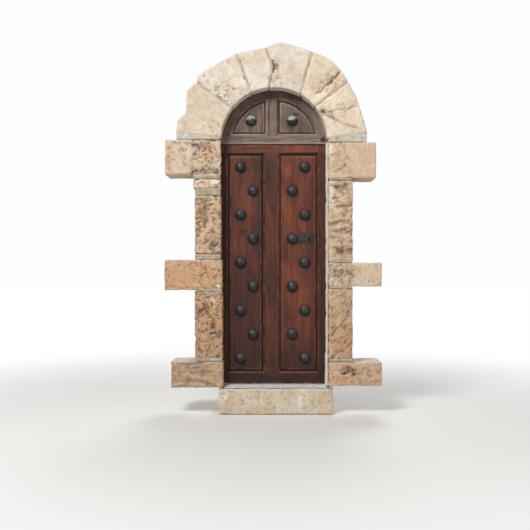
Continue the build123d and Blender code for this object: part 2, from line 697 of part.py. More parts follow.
def leaf_stud_places():
    """Two zigzag columns of studs; the columns mirror each other row by row."""
    places = []
    for row in range(STUD_ROWS):
        z = LEAF_TOP - STUD_TOP_ROW_DROP - row * STUD_PITCH
        outer = row % 2 == 0
        places.append((LEFT_STUD_OUTER if outer else LEFT_STUD_INNER, z))
        places.append((RIGHT_STUD_OUTER if outer else RIGHT_STUD_INNER, z))
    return places


def tympanum_stud_places():
    z = ARCH_Z + ARCH_RAIL_INNER * TYMPANUM_STUD_RISE_SHARE
    left_x = -ARCH_RAIL_INNER * TYMPANUM_LEFT_STUD_SHARE
    right_x = ARCH_RAIL_INNER * TYMPANUM_RIGHT_STUD_SHARE
    return [(left_x, z), (right_x, z)]


def drilled(panel, places, front, back):
    for x, z in places:
        panel = panel - rod(x, z, STUD_SHANK_RADIUS + SHANK_FIT, front, back)
    return panel


def field_planes(front):
    """Front and back of a panel's field."""
    seat = front + GROOVE_FROM_FACE
    return seat - FIELD_RISE, seat + GROOVE_WIDTH


def rosette_place():
    return ARCH_RADIUS - ROSETTE_FROM_REVEAL, TRANSOM_BOTTOM + ROSETTE_RISE


def rosette_hole():
    x, z = rosette_place()
    return rod(x, z, STUD_SHANK_RADIUS + SHANK_FIT, TYMPANUM_FACE, TYMPANUM_BACK)


def tympanum_panels():
    nodes = {}
    front, back = field_planes(TYMPANUM_FACE)
    places = tympanum_stud_places()
    sides = ((-1, TYMPANUM_MUNTIN_LEFT, "left"), (1, TYMPANUM_MUNTIN_RIGHT, "right"))
    for (side, muntin_side, word), place in zip(sides, places):
        panel = raised_panel(tympanum_outline(side, muntin_side), TYMPANUM_FACE)
        nodes["tympanum_panel_" + word] = drilled(panel, [place], front, back)
        nodes["tympanum_moulding_" + word] = tympanum_moulding(side, muntin_side)
    nodes["tympanum_studs"] = [stud(x, z, front, back) for x, z in places]
    x, z = rosette_place()
    head = dome_head(x, z, TYMPANUM_FACE, ROSETTE_RADIUS, ROSETTE_HEIGHT, STUD_RIM)
    nodes["transom_bolt"] = head + rod(x, z, STUD_SHANK_RADIUS, TYMPANUM_FACE, TYMPANUM_BACK)
    return nodes


def rail_tenon(side, z0, z1):
    """Tenon of a leaf rail into one of the stiles."""
    shoulder_x = STILE_LEFT if side < 0 else STILE_RIGHT
    y0 = LEAF_FACE + GROOVE_FROM_FACE
    return box(shoulder_x, shoulder_x + side * TENON_LENGTH, y0, y0 + GROOVE_WIDTH,
               z0 + TENON_SHOULDER, z1 - TENON_SHOULDER)


def leaf_frame():
    """Stiles, rails and muntin, grooved for the panels and tenoned together."""
    openings = [leaf_outline(-LEAF_X + HINGE_STILE_WIDTH, -MUNTIN_LEFT),
                leaf_outline(MUNTIN_RIGHT, STILE_RIGHT)]
    grooves = groove(openings[0](-GROOVE_DEPTH) + openings[1](-GROOVE_DEPTH), LEAF_FACE)
    rails = {"top_rail": (PANEL_TOP, LEAF_TOP), "bottom_rail": (LEAF_BOTTOM, PANEL_BOTTOM)}
    nodes = {}
    tenons = {-1: [], 1: []}
    for name, (z0, z1) in rails.items():
        rail = box(STILE_LEFT, STILE_RIGHT, LEAF_FACE, LEAF_BACK, z0, z1)
        for side in (-1, 1):
            tenon = rail_tenon(side, z0, z1)
            tenons[side].append(tenon)
            rail = rail + tenon
        nodes[name] = rail - grooves
    stiles = ((-1, "hinge_stile", -LEAF_X, STILE_LEFT), (1, "lock_stile", STILE_RIGHT, LEAF_X))
    for side, name, x0, x1 in stiles:
        stile = box(x0, x1, LEAF_FACE, LEAF_BACK, LEAF_BOTTOM, LEAF_TOP) - grooves
        for tenon in tenons[side]:
            stile = stile - tenon
        nodes[name] = stile
    nodes["muntin"] = box(-MUNTIN_LEFT, MUNTIN_RIGHT, LEAF_FACE, LEAF_BACK,
                          PANEL_BOTTOM, PANEL_TOP) - grooves
    nodes["lock_stile"] = nodes["lock_stile"] - stile_nail_shank(SHANK_FIT)
    return nodes


def keyhole(y0, y1, spread=0.0):
    """A round hole with a slot hanging from it, as a cutter."""
    half = KEYHOLE_SLOT_WIDTH / 2 + spread
    figure = Pos(KEYHOLE_X, KEYHOLE_Z) * Circle(KEYHOLE_RADIUS + spread)
    figure = figure + rectangle(KEYHOLE_X - half, KEYHOLE_X + half,
                                KEYHOLE_Z - KEYHOLE_SLOT_LENGTH - spread, KEYHOLE_Z)
    return slab(figure, y0, y1)


def leaf_panels():
    front, back = field_planes(LEAF_FACE)
    nodes = {}
    places = leaf_stud_places()
    sides = ((STILE_LEFT, -MUNTIN_LEFT, "left"), (MUNTIN_RIGHT, STILE_RIGHT, "right"))
    for left, right, word in sides:
        panel = raised_panel(leaf_outline(left, right), LEAF_FACE)
        own = [place for place in places if left < place[0] < right]
        nodes["leaf_panel_" + word] = drilled(panel, own, front, back)
        nodes["leaf_moulding_" + word] = leaf_moulding(left, right)
    cuts = keyhole(front, back, KEYHOLE_WOOD_CLEARANCE) + stile_nail_shank(SHANK_FIT)
    nodes["leaf_panel_right"] = nodes["leaf_panel_right"] - cuts
    nodes["leaf_studs"] = [stud(x, z, front, back) for x, z in places]
    return nodes


def escutcheon():
    """Forged two-lobed plate round the keyhole."""
    front = field_planes(LEAF_FACE)[0]
    tail_x = RIGHT_STUD_INNER + STUD_RADIUS + ESCUTCHEON_FROM_STUD + ESCUTCHEON_TAIL_RADIUS
    figure = Pos(KEYHOLE_X, KEYHOLE_Z) * Circle(ESCUTCHEON_RADIUS)
    figure = figure + Pos(tail_x, KEYHOLE_Z) * Circle(ESCUTCHEON_TAIL_RADIUS)
    figure = figure + rectangle(tail_x, KEYHOLE_X, KEYHOLE_Z - ESCUTCHEON_WAIST / 2,
                                KEYHOLE_Z + ESCUTCHEON_WAIST / 2)
    plate = slab(figure, front - ESCUTCHEON_THICKNESS, front)
    return plate - keyhole(front - ESCUTCHEON_THICKNESS, front)


def stile_nail_shank(spread=0.0):
    return rod(STILE_NAIL_X, STILE_NAIL_Z, STILE_NAIL_SHANK_RADIUS + spread, LEAF_FACE,
               LEAF_FACE + STILE_NAIL_LENGTH)


def stile_nail():
    head = dome_head(STILE_NAIL_X, STILE_NAIL_Z, LEAF_FACE, STILE_NAIL_RADIUS,
                     STILE_NAIL_HEIGHT, STILE_NAIL_RIM)
    return head + stile_nail_shank()


def bolt_bar(x0, x1, spread=0.0):
    half_y = BOLT_THICKNESS / 2 + spread
    half_z = BOLT_HEIGHT / 2 + spread
    return box(x0, x1, BOLT_Y - half_y, BOLT_Y + half_y, BOLT_Z - half_z, BOLT_Z + half_z)


def lock_parts():
    """Rim lock on the back of the lock stile, its bolt drawn back."""
    wall = LOCK_CASE_WALL
    low = KEYHOLE_Z - LOCK_CASE_BELOW_KEY
    high = KEYHOLE_Z + LOCK_CASE_ABOVE_KEY
    case = box(LOCK_CASE_LEFT, LOCK_CASE_RIGHT, LEAF_BACK, LOCK_CASE_BACK, low, high)
    case = case - box(LOCK_CASE_LEFT + wall, LOCK_CASE_RIGHT - wall, LEAF_BACK,
                      LOCK_CASE_BACK - wall, low + wall, high - wall)
    case = case - bolt_bar(LOCK_CASE_RIGHT - wall, LOCK_CASE_RIGHT, BOLT_FIT)
    bolt_end = LOCK_CASE_RIGHT
    bolt = bolt_bar(bolt_end - BOLT_LENGTH, bolt_end)
    bolt = bolt - box(KEYHOLE_X - BOLT_NOTCH_WIDTH / 2, KEYHOLE_X + BOLT_NOTCH_WIDTH / 2,
                      BOLT_Y - BOLT_THICKNESS, BOLT_Y + BOLT_THICKNESS,
                      BOLT_Z - BOLT_HEIGHT, BOLT_Z - BOLT_HEIGHT / 2 + BOLT_NOTCH_DEPTH)
    guides = []
    for x in (bolt_end - REAR_GUIDE_FROM_END, bolt_end - FRONT_GUIDE_FROM_END):
        half_z = BOLT_HEIGHT / 2 + BOLT_FIT + GUIDE_WALL
        guide = box(x - GUIDE_WIDTH / 2, x + GUIDE_WIDTH / 2,
                    BOLT_Y - BOLT_THICKNESS / 2 - BOLT_FIT - GUIDE_WALL / 2,
                    LOCK_CASE_BACK - wall, BOLT_Z - half_z, BOLT_Z + half_z)
        guides.append(guide - bolt_bar(x - GUIDE_WIDTH, x + GUIDE_WIDTH, BOLT_FIT))
    return {"lock_case": case, "lock_bolt": bolt, "bolt_guides": guides,
            "tumbler_spring": tumbler_spring(bolt_end - BOLT_LENGTH / 2, high - wall)}


def tumbler_spring(x, roof):
    """Bowed leaf spring between the case's roof and the top of the bolt."""
    floor = BOLT_Z + BOLT_HEIGHT / 2 + BOLT_FIT
    half = TUMBLER_LENGTH / 2
    thick = TUMBLER_THICKNESS
    strip = make_face([
        ThreePointArc((x - half, roof - thick), (x, floor), (x + half, roof - thick)),
        Line((x + half, roof - thick), (x + half, roof)),
        ThreePointArc((x + half, roof), (x, floor + thick), (x - half, roof)),
        Line((x - half, roof), (x - half, roof - thick)),
    ])
    return slab(strip, BOLT_Y - TUMBLER_WIDTH / 2, BOLT_Y + TUMBLER_WIDTH / 2)


def lock_block():
    """Wooden packing behind the panel that carries the lock case."""
    back = field_planes(LEAF_FACE)[1]
    block = box(STILE_RIGHT - LOCK_BLOCK_LENGTH, STILE_RIGHT, back, LEAF_BACK,
                KEYHOLE_Z - LOCK_BLOCK_HEIGHT / 2, KEYHOLE_Z + LOCK_BLOCK_HEIGHT / 2)
    return block - keyhole(back, LEAF_BACK, KEYHOLE_WOOD_CLEARANCE)


def keeper():
    """Iron staple on the back of the post that takes the thrown bolt."""
    x0 = POST_INNER + KEEPER_FROM_REVEAL
    x1 = x0 + KEEPER_LENGTH
    half = BOLT_HEIGHT / 2 + KEEPER_FIT + KEEPER_WALL
    back = BOLT_Y + BOLT_THICKNESS / 2 + KEEPER_FIT + KEEPER_WALL
    body = box(x0, x1, POST_BACK, back, BOLT_Z - half, BOLT_Z + half)
    return body - bolt_bar(x0, x1 - KEEPER_WALL, KEEPER_FIT)


def strap(z):
    """A tapered strap with a rolled eye, and the nails' holes left to the nails."""
    low = z - STRAP_HEIGHT / 2
    tip_x = HINGE_X + STRAP_LENGTH
    half = STRAP_HEIGHT / 2
    tip = STRAP_TIP_HEIGHT / 2
    blade = make_face([
        Line((HINGE_X, z - half), (tip_x, z - tip)),
        ThreePointArc((tip_x, z - tip), (tip_x + tip, z), (tip_x, z + tip)),
        Line((tip_x, z + tip), (HINGE_X, z + half)),
        Line((HINGE_X, z + half), (HINGE_X, z - half)),
    ])
    eye = Pos(HINGE_X, HINGE_Y) * Circle(EYE_RADIUS)
    bore = Pos(HINGE_X, HINGE_Y) * Circle(HINGE_PIN_RADIUS + HINGE_RUNNING_FIT)
    body = slab(blade, LEAF_BACK, LEAF_BACK + STRAP_THICKNESS) + upright(eye, low, low + STRAP_HEIGHT)
    return body - upright(bore, low, low + STRAP_HEIGHT)


def strap_nails(z):
    """Nail heads on the back of a strap."""
    nails = []
    back = LEAF_BACK + STRAP_THICKNESS
    step = (STRAP_LAST_NAIL_SHARE - STRAP_FIRST_NAIL_SHARE) / (STRAP_NAILS - 1)
    for index in range(STRAP_NAILS):
        x = HINGE_X + STRAP_LENGTH * (STRAP_FIRST_NAIL_SHARE + step * index)
        head = dome_head(x, z, 0.0, STRAP_NAIL_RADIUS, STRAP_NAIL_HEIGHT, STRAP_NAIL_RIM)
        nails.append(Pos(0, back, 0) * mirror(head, Plane.XZ))
    return nails


def pintle(z):
    """A hook on a plate: the lug carries the eye, the pin runs up through it."""
    shelf = z - STRAP_HEIGHT / 2 - HINGE_END_FLOAT
    foot = shelf - PINTLE_LUG_HEIGHT
    plate_left = -POST_OUTER + PINTLE_PLATE_INSET
    plate = box(plate_left, plate_left + PINTLE_PLATE_WIDTH, POST_BACK,
                POST_BACK + PINTLE_PLATE_THICKNESS, foot, foot + PINTLE_PLATE_HEIGHT)
    arm = box(plate_left, HINGE_X, POST_BACK, HINGE_Y + PINTLE_LUG_RADIUS / 2, foot, shelf)
    boss = upright(Pos(HINGE_X, HINGE_Y) * Circle(PINTLE_LUG_RADIUS), foot, shelf)
    pin_top = z + STRAP_HEIGHT / 2 + PINTLE_PIN_STAND
    pin = upright(Pos(HINGE_X, HINGE_Y) * Circle(HINGE_PIN_RADIUS), foot, pin_top)
    return plate + arm + boss + pin


def hinge_parts():
    nodes = {}
    nails = []
    for word, z in (("upper", TOP_HINGE_Z), ("lower", BOTTOM_HINGE_Z)):
        nodes[word + "_strap_hinge"] = strap(z)
        nodes[word + "_pintle"] = pintle(z)
        nails += strap_nails(z)
    nodes["strap_nails"] = nails
    return nodes


def door():
    nodes = stone_surround()
    nodes.update(posts())
    nodes.update(tympanum_frame())
    nodes.update(tympanum_panels())
    nodes.update(leaf_frame())
    nodes.update(leaf_panels())
    nodes["escutcheon"] = escutcheon()
    nodes["stile_nail"] = stile_nail()
    nodes["lock_block"] = lock_block()
    nodes.update(lock_parts())
    nodes["lock_keeper"] = keeper()
    nodes.update(hinge_parts())
    return nodes


def solids_of(shape):
    pieces = shape if isinstance(shape, list) else [shape]
    return [solid for piece in pieces for solid in piece.solids()]


os.makedirs("parts", exist_ok=True)
for node, shape in door().items():
    solids = solids_of(shape)
    body = solids[0] if len(solids) == 1 else Compound(children=solids)
    export_step(body, "parts/" + node + ".step")
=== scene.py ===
"""Looks of an arched, studded wooden door in its limestone surround.

Metres, +Z up; the outside face looks towards -Y. Every piece takes its size and place from the
frame. Stones, mortar and ironwork are worn copies of the frame's own solids. Timbers and
mouldings are cut anew on fine nets inside the same boxes. Wear goes inwards; only the mortar
swells a little, and the voussoirs a little into their joints.
"""

from math import asin, cos, pi, radians, sin, sqrt

import bmesh
import bpy
import numpy as np
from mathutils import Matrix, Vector


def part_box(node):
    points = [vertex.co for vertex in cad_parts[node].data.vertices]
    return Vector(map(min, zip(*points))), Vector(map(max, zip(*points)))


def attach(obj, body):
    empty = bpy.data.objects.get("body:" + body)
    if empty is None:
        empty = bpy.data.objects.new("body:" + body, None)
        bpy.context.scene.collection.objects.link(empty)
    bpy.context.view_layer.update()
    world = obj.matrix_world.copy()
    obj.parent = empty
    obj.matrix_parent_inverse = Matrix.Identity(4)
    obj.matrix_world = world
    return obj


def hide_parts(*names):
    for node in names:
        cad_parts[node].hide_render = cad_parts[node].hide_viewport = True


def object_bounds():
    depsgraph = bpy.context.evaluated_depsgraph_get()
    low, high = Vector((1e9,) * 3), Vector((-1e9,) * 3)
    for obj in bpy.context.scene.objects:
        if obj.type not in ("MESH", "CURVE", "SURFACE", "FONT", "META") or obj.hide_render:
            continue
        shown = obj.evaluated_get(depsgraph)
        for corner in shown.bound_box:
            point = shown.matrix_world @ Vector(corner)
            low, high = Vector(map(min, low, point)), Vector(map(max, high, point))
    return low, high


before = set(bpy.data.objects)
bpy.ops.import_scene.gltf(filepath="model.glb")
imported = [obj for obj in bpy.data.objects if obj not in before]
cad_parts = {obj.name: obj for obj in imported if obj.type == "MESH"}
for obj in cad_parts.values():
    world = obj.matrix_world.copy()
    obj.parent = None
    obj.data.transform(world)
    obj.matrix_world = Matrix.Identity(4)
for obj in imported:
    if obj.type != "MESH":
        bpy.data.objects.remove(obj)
cad_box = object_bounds()

# Where the camera stood: metres in front of the stone face, and how much of that face it took in
CAMERA_DISTANCE = 6.0
CAMERA_X = -0.077
CAMERA_Z = 1.245
VIEW_WIDTH = 4.399
SENSOR_WIDTH = 36.0

# Planes, heights and radii, from the frame's boxes
STONE_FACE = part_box("keystone")[0].y
FRAME_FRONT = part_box("transom_rail")[0].y
LEAF_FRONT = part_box("hinge_stile")[0].y
ARCH_CENTRE_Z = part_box("transom_rail")[0].z + 0.006
RAIL_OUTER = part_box("arched_rail_right")[1].z - ARCH_CENTRE_Z
RAIL_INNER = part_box("tympanum_muntin")[1].z - ARCH_CENTRE_Z
TRANSOM_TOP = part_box("transom_rail")[1].z
SOFFIT_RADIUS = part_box("keystone")[0].z - ARCH_CENTRE_Z
LEFT_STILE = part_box("hinge_stile")
RIGHT_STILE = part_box("lock_stile")
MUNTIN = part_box("muntin")
LEAF_TOP = LEFT_STILE[1].z
MIDDLE_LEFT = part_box("tympanum_muntin")[0].x
MIDDLE_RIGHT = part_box("tympanum_muntin")[1].x
FIELD_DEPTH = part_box("leaf_panel_left")[0].y - LEAF_FRONT
PANEL_BACK_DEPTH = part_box("leaf_panel_left")[1].y - LEAF_FRONT

# The moulding's section, where the field of a panel starts, and how far a panel is let into its groove
MOULDING_WIDTH = 0.020
MOULDING_DEPTH = 0.018
PANEL_BORDER = 0.038
GROOVE_REACH = 0.011
# The keyhole in the wood behind the escutcheon: its middle and half size in x and z, its depth
KEYHOLE = (0.2984, 1.466)
KEYHOLE_HALF = (0.011, 0.025)
KEYHOLE_DEPTH = 0.024

# How fine the nets are that stones and mortar are worn from, and how many faces a stone keeps
STONE_NET = 0.0052
STONE_FACES_KEPT = 0.33
MORTAR_NET = 0.005
# How deep weather goes: into a sound skin, the swells and the gaps of raw stone, and a block's edges
SKIN_WEAR = 0.0012
RAW_SWELL = 0.003
RAW_GAPS = 0.013
EDGE_WANDER = 0.006
# How far apart a timber's net lines are: across its face, through it, along its grain
FACE_STEP = 0.0035
DEPTH_STEP = 0.012
GRAIN_STEP = 0.016
# How far each voussoir reaches into its joints' mortar, so that they read as thin as they are
JOINT_SQUEEZE = 0.0040


def tone(red, green, blue):
    """A colour as a screen shows it, 0 to 255 each, turned into what a shader takes."""
    shares = (value / 255 for value in (red, green, blue))
    return tuple(share / 12.92 if share <= 0.04045 else ((share + 0.055) / 1.055) ** 2.4
                 for share in shares)


# Noise and masks on points

SLOPES = np.random.default_rng(11).normal(size=(4096, 3))
SLOPES /= np.linalg.norm(SLOPES, axis=1)[:, None]


def lumps(points, size, seed):
    """Smooth bumps between about -1 and 1, one size across."""
    place = points / size + seed * 7.31
    cell = np.floor(place).astype(np.int64)
    inside = place - cell
    fade = inside * inside * (3 - 2 * inside)
    total = np.zeros(len(points))
    for step in np.ndindex(2, 2, 2):
        near = cell + step
        key = (near[:, 0] * 73856093) ^ (near[:, 1] * 19349663) ^ (near[:, 2] * 83492791)
        weight = np.prod(np.where(np.array(step) == 1, fade, 1 - fade), axis=1)
        total += weight * np.einsum("ij,ij->i", SLOPES[key % 4096], inside - step)
    return total * 1.7


def rubble(points, size, seed, octaves=3):
    """Bumps of several sizes, each half as large as the last."""
    return sum(lumps(points, size / 2 ** n, seed + n) / 2 ** n for n in range(octaves))


def ramp(value, low, high):
    """0 at low, 1 at high, smooth between."""
    share = np.clip((value - low) / (high - low), 0, 1)
    return share * share * (3 - 2 * share)


def falling(value, full, none):
    """1 up to full, down to 0 at none."""
    return ramp(-value, -none, -full)


def within(value, full, none):
    """1 where a value is nearer 0 than full, down to 0 at none."""
    return falling(np.abs(value), full, none)


def patchy(points, size, seed, low, high):
    """Ragged patches: 0 where the bumps are under low, 1 where they are over high."""
    return ramp(rubble(points, size, seed), low, high)


def plain(points):
    """0 at every point."""
    return np.zeros(len(points))


def unit(vectors):
    """Each vector made one long."""
    return vectors / np.maximum(np.linalg.norm(vectors, axis=1), 1e-9)[:, None]


def oval_reach(points, centre, half_size):
    """How far out points lie in the door's plane: 1 on the edge of an oval."""
    return np.hypot((points[:, 0] - centre[0]) / half_size[0], (points[:, 2] - centre[1]) / half_size[1])


# Meshes

def smoothed(mesh):
    mesh.polygons.foreach_set("use_smooth", np.ones(len(mesh.polygons), dtype=bool))
    mesh.update()


def new_piece(name, points, faces):
    mesh = bpy.data.meshes.new(name)
    mesh.from_pydata(points.tolist(), [], faces if isinstance(faces, list) else faces.tolist())
    mesh.validate()
    smoothed(mesh)
    piece = bpy.data.objects.new(name, mesh)
    bpy.context.scene.collection.objects.link(piece)
    return piece


def face_outwards(piece):
    """Turn every face of each closed shell outwards."""
    net = bmesh.new()
    net.from_mesh(piece.data)
    bmesh.ops.recalc_face_normals(net, faces=net.faces)
    net.to_mesh(piece.data)
    net.free()
    piece.data.update()


def joined(parts):
    """Several (points, faces) nets as one."""
    points = []
    faces = []
    start = 0
    for part_points, part_faces in parts:
        points.append(part_points)
        faces += [[corner + start for corner in face] for face in part_faces]
        start += len(part_points)
    return np.concatenate(points), faces


def points_of(mesh, field="co"):
    values = np.empty(len(mesh.vertices) * 3)
    mesh.vertices.foreach_get(field, values)
    return values.reshape(-1, 3)


def edges_of(mesh):
    values = np.empty(len(mesh.edges) * 2, dtype=np.int32)
    mesh.edges.foreach_get("vertices", values)
    return values.reshape(-1, 2)


def move_points(mesh, points):
    mesh.vertices.foreach_set("co", points.ravel())
    mesh.update()


def apply_modifiers(piece):
    graph = bpy.context.evaluated_depsgraph_get()
    mesh = bpy.data.meshes.new_from_object(piece.evaluated_get(graph))
    spare = piece.data
    piece.modifiers.clear()
    piece.data = mesh
    bpy.data.meshes.remove(spare)


def netted(name, node, cell):
    """A copy of a node's solids remade as an even net of small faces."""
    piece = bpy.data.objects.new(name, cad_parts[node].data.copy())
    piece.data.materials.clear()
    bpy.context.scene.collection.objects.link(piece)
    net = piece.modifiers.new("net", "REMESH")
    net.mode = "VOXEL"
    net.voxel_size = cell
    apply_modifiers(piece)
    return piece


def thinned(piece, share):
    """Fewer faces where the surface is even."""
    fewer = piece.modifiers.new("fewer", "DECIMATE")
    fewer.ratio = share
    apply_modifiers(piece)
    smoothed(piece.data)


def rubbed(points, edges, rounds, strength):
    """Arrises rubbed round: each point drawn towards its neighbours."""
    count = np.bincount(edges.ravel(), minlength=len(points))[:, None]
    one, other = edges[:, 0], edges[:, 1]
    for _ in range(rounds):
        sums = [
            np.bincount(one, points[other, axis], len(points))
            + np.bincount(other, points[one, axis], len(points))
            for axis in range(3)
        ]
        points = points + (np.stack(sums, axis=1) / count - points) * strength[:, None]
    return points


def write_marks(piece, name, red, green, blue):
    """Three masks kept on a mesh's points as one colour."""
    mesh = piece.data
    layer = mesh.attributes.get(name) or mesh.attributes.new(name, "FLOAT_COLOR", "POINT")
    values = np.ones((len(mesh.vertices), 4))
    for column, mask in enumerate((red, green, blue)):
        values[:, column] = mask
    layer.data.foreach_set("color", np.clip(values, 0, 1).ravel())


def write_place(piece, place):
    """Where each point lies in its own timber: across, through, along the grain."""
    layer = piece.data.attributes.new("timber_place", "FLOAT_VECTOR", "POINT")
    layer.data.foreach_set("vector", place.ravel())


def set_out(piece, body, slot, node):
    """Hang a finished piece on its body in place of its node, in its slot's material."""
    piece.data.materials.clear()
    piece.data.materials.append(FINISHES[slot])
    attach(piece, body)
    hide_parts(node)


# Shader nodes

def add(tree, kind, **settings):
    made = tree.nodes.new(kind)
    for key, value in settings.items():
        setattr(made, key, value)
    return made


def feed(tree, socket, value):
    """Link a socket's value, or set it where it is a plain one."""
    if isinstance(value, bpy.types.NodeSocket):
        tree.links.new(value, socket)
    elif isinstance(value, tuple) and len(value) == 3 and socket.type == "RGBA":
        socket.default_value = (*value, 1.0)
    else:
        socket.default_value = value


def sums(tree, operation, first, second=0.5, clamp=False):
    made = add(tree, "ShaderNodeMath", operation=operation, use_clamp=clamp)
    feed(tree, made.inputs[0], first)
    feed(tree, made.inputs[1], second)
    return made.outputs[0]


def mixed(tree, share, first, second, blend="MIX"):
    made = add(tree, "ShaderNodeMix", data_type="RGBA", blend_type=blend)
    feed(tree, made.inputs[0], share)
    feed(tree, made.inputs[6], first)
    feed(tree, made.inputs[7], second)
    return made.outputs[2]


def remap(tree, value, low, high, new_low=0.0, new_high=1.0):
    made = add(tree, "ShaderNodeMapRange", interpolation_type="SMOOTHSTEP")
    for socket, given in zip(made.inputs, (value, low, high, new_low, new_high)):
        feed(tree, socket, given)
    return made.outputs[0]


def clouds(tree, vector, scale, detail=3.0, roughness=0.55, distortion=0.0):
    made = add(tree, "ShaderNodeTexNoise")
    feed(tree, made.inputs["Vector"], vector)
    feed(tree, made.inputs["Scale"], scale)
    feed(tree, made.inputs["Detail"], detail)
    feed(tree, made.inputs["Roughness"], roughness)
    feed(tree, made.inputs["Distortion"], distortion)
    return made.outputs["Fac"]


def scaled(tree, vector, factors):
    made = add(tree, "ShaderNodeMapping")
    feed(tree, made.inputs["Vector"], vector)
    made.inputs["Scale"].default_value = factors
    return made.outputs["Vector"]


def object_place(tree):
    return add(tree, "ShaderNodeTexCoord").outputs["Object"]


def kept(tree, name):
    """What is kept on a mesh's points under a name."""
    return add(tree, "ShaderNodeAttribute", attribute_type="GEOMETRY", attribute_name=name)


def marks(tree, name):
    """The three masks kept on a mesh under a name."""
    split = add(tree, "ShaderNodeSeparateColor")
    feed(tree, split.inputs[0], kept(tree, name).outputs["Color"])
    return split.outputs[0], split.outputs[1], split.outputs[2]


def layered(tree, colour, *layers):
    """Tints laid over a colour, each given as (its mask, how strongly it covers, the tint)."""
    for mask, strength, tint in layers:
        share = mask if strength == 1.0 else sums(tree, "MULTIPLY", mask, strength)
        colour = mixed(tree, share, colour, tint)
    return colour


def group(name, inputs, outputs):
    """A shader node group with named sockets: (tree, its inputs, a dict of its output sockets)."""
    tree = bpy.data.node_groups.new(name, "ShaderNodeTree")
    for socket, kind, value in inputs:
        made = tree.interface.new_socket(socket, in_out="INPUT", socket_type=kind)
        if value is not None:
            made.default_value = value
    for socket, kind in outputs:
        tree.interface.new_socket(socket, in_out="OUTPUT", socket_type=kind)
    enter = tree.nodes.new("NodeGroupInput")
    leave = tree.nodes.new("NodeGroupOutput")
    return tree, enter.outputs, leave.inputs


def use(tree, name, **values):
    """Place a group in a material with its own values; spaces in socket names are underscores."""
    made = add(tree, "ShaderNodeGroup", node_tree=bpy.data.node_groups[name])
    for key, value in values.items():
        feed(tree, made.inputs[key.replace("_", " ")], value)
    return made.outputs


FLOAT = "NodeSocketFloat"
VECTOR = "NodeSocketVector"


def build_mottle():
    """Soft patches of a given size, with how hard their edges are."""
    tree, given, out = group(
        "mottle", [("Place", VECTOR, None), ("Patches Per Metre", FLOAT, 8.0), ("Hardness", FLOAT, 0.5)],
        [("Mask", FLOAT)])
    cloud = clouds(tree, given["Place"], given["Patches Per Metre"], 5.0, 0.6)
    low = sums(tree, "MULTIPLY_ADD", given["Hardness"], 0.28)
    low.node.inputs[2].default_value = 0.20
    high = sums(tree, "SUBTRACT", 1.0, low)
    feed(tree, out["Mask"], remap(tree, cloud, low, high))


def build_grit():
    """Sandy relief and the dark flecks that sit in it."""
    tree, given, out = group(
        "grit", [("Place", VECTOR, None), ("Grains Per Metre", FLOAT, 250.0), ("Fleck Share", FLOAT, 0.3)],
        [("Height", FLOAT), ("Flecks", FLOAT)])
    fine = clouds(tree, given["Place"], given["Grains Per Metre"], 4.0, 0.7)
    coarse = clouds(tree, given["Place"], sums(tree, "MULTIPLY", given["Grains Per Metre"], 0.22), 3.0, 0.6)
    feed(tree, out["Height"], sums(tree, "ADD", sums(tree, "MULTIPLY", fine, 0.45), coarse))
    edge = sums(tree, "MULTIPLY_ADD", given["Fleck Share"], 0.22)
    edge.node.inputs[2].default_value = 0.30
    dark = remap(tree, coarse, edge, sums(tree, "SUBTRACT", edge, 0.10))
    feed(tree, out["Flecks"], sums(tree, "MULTIPLY", dark, given["Fleck Share"]))


def build_timber_figure():
    """Grain that runs along a timber: broad bands, fine fibres and dark checks."""
    tree, given, out = group(
        "timber_figure", [("Place", VECTOR, None), ("Fibres Per Metre", FLOAT, 300.0)],
        [("Bands", FLOAT), ("Fibres", FLOAT), ("Checks", FLOAT), ("Height", FLOAT)])
    broad = clouds(tree, scaled(tree, given["Place"], (26.0, 26.0, 1.1)), 1.0, 4.0, 0.6, 0.6)
    long_place = scaled(tree, given["Place"], (1.0, 1.0, 0.022))
    fibres = clouds(tree, long_place, given["Fibres Per Metre"], 3.0, 0.65)
    check_place = scaled(tree, given["Place"], (60.0, 60.0, 1.6))
    checks = remap(tree, clouds(tree, check_place, 1.0, 2.0, 0.5, 0.3), 0.36, 0.29)
    feed(tree, out["Bands"], remap(tree, broad, 0.3, 0.7))
    feed(tree, out["Fibres"], remap(tree, fibres, 0.32, 0.68))
    feed(tree, out["Checks"], checks)
    relief = sums(tree, "SUBTRACT", fibres, sums(tree, "MULTIPLY", checks, 0.8))
    feed(tree, out["Height"], relief)


def build_settled_dust():
    """Dust that lies where a surface looks up, broken into patches."""
    tree, given, out = group(
        "settled_dust", [("Place", VECTOR, None), ("Amount", FLOAT, 0.5)], [("Mask", FLOAT)])
    normal = add(tree, "ShaderNodeNewGeometry").outputs["Normal"]
    split = add(tree, "ShaderNodeSeparateXYZ")
    feed(tree, split.inputs[0], normal)
    facing = remap(tree, split.outputs["Z"], 0.25, 0.9)
    patchy = remap(tree, clouds(tree, given["Place"], 45.0, 4.0, 0.65), 0.25, 0.6)
    share = sums(tree, "MULTIPLY", facing, patchy)
    feed(tree, out["Mask"], sums(tree, "MULTIPLY", share, given["Amount"], True))


def build_rust_bloom():
    """Rust that breaks through dark iron in spots."""
    tree, given, out = group(
        "rust_bloom", [("Place", VECTOR, None), ("Amount", FLOAT, 0.4)], [("Mask", FLOAT), ("Height", FLOAT)])
    spots = clouds(tree, given["Place"], 70.0, 6.0, 0.72)
    edge = sums(tree, "SUBTRACT", 0.74, sums(tree, "MULTIPLY", given["Amount"], 0.42))
    feed(tree, out["Mask"], remap(tree, spots, edge, sums(tree, "ADD", edge, 0.12)))
    feed(tree, out["Height"], clouds(tree, given["Place"], 420.0, 4.0, 0.7))


def mottle(tree, place, per_metre, hardness):
    return use(tree, "mottle", Place=place, Patches_Per_Metre=per_metre, Hardness=hardness)["Mask"]


def dust_on(tree, place, amount):
    return use(tree, "settled_dust", Place=place, Amount=amount)["Mask"]


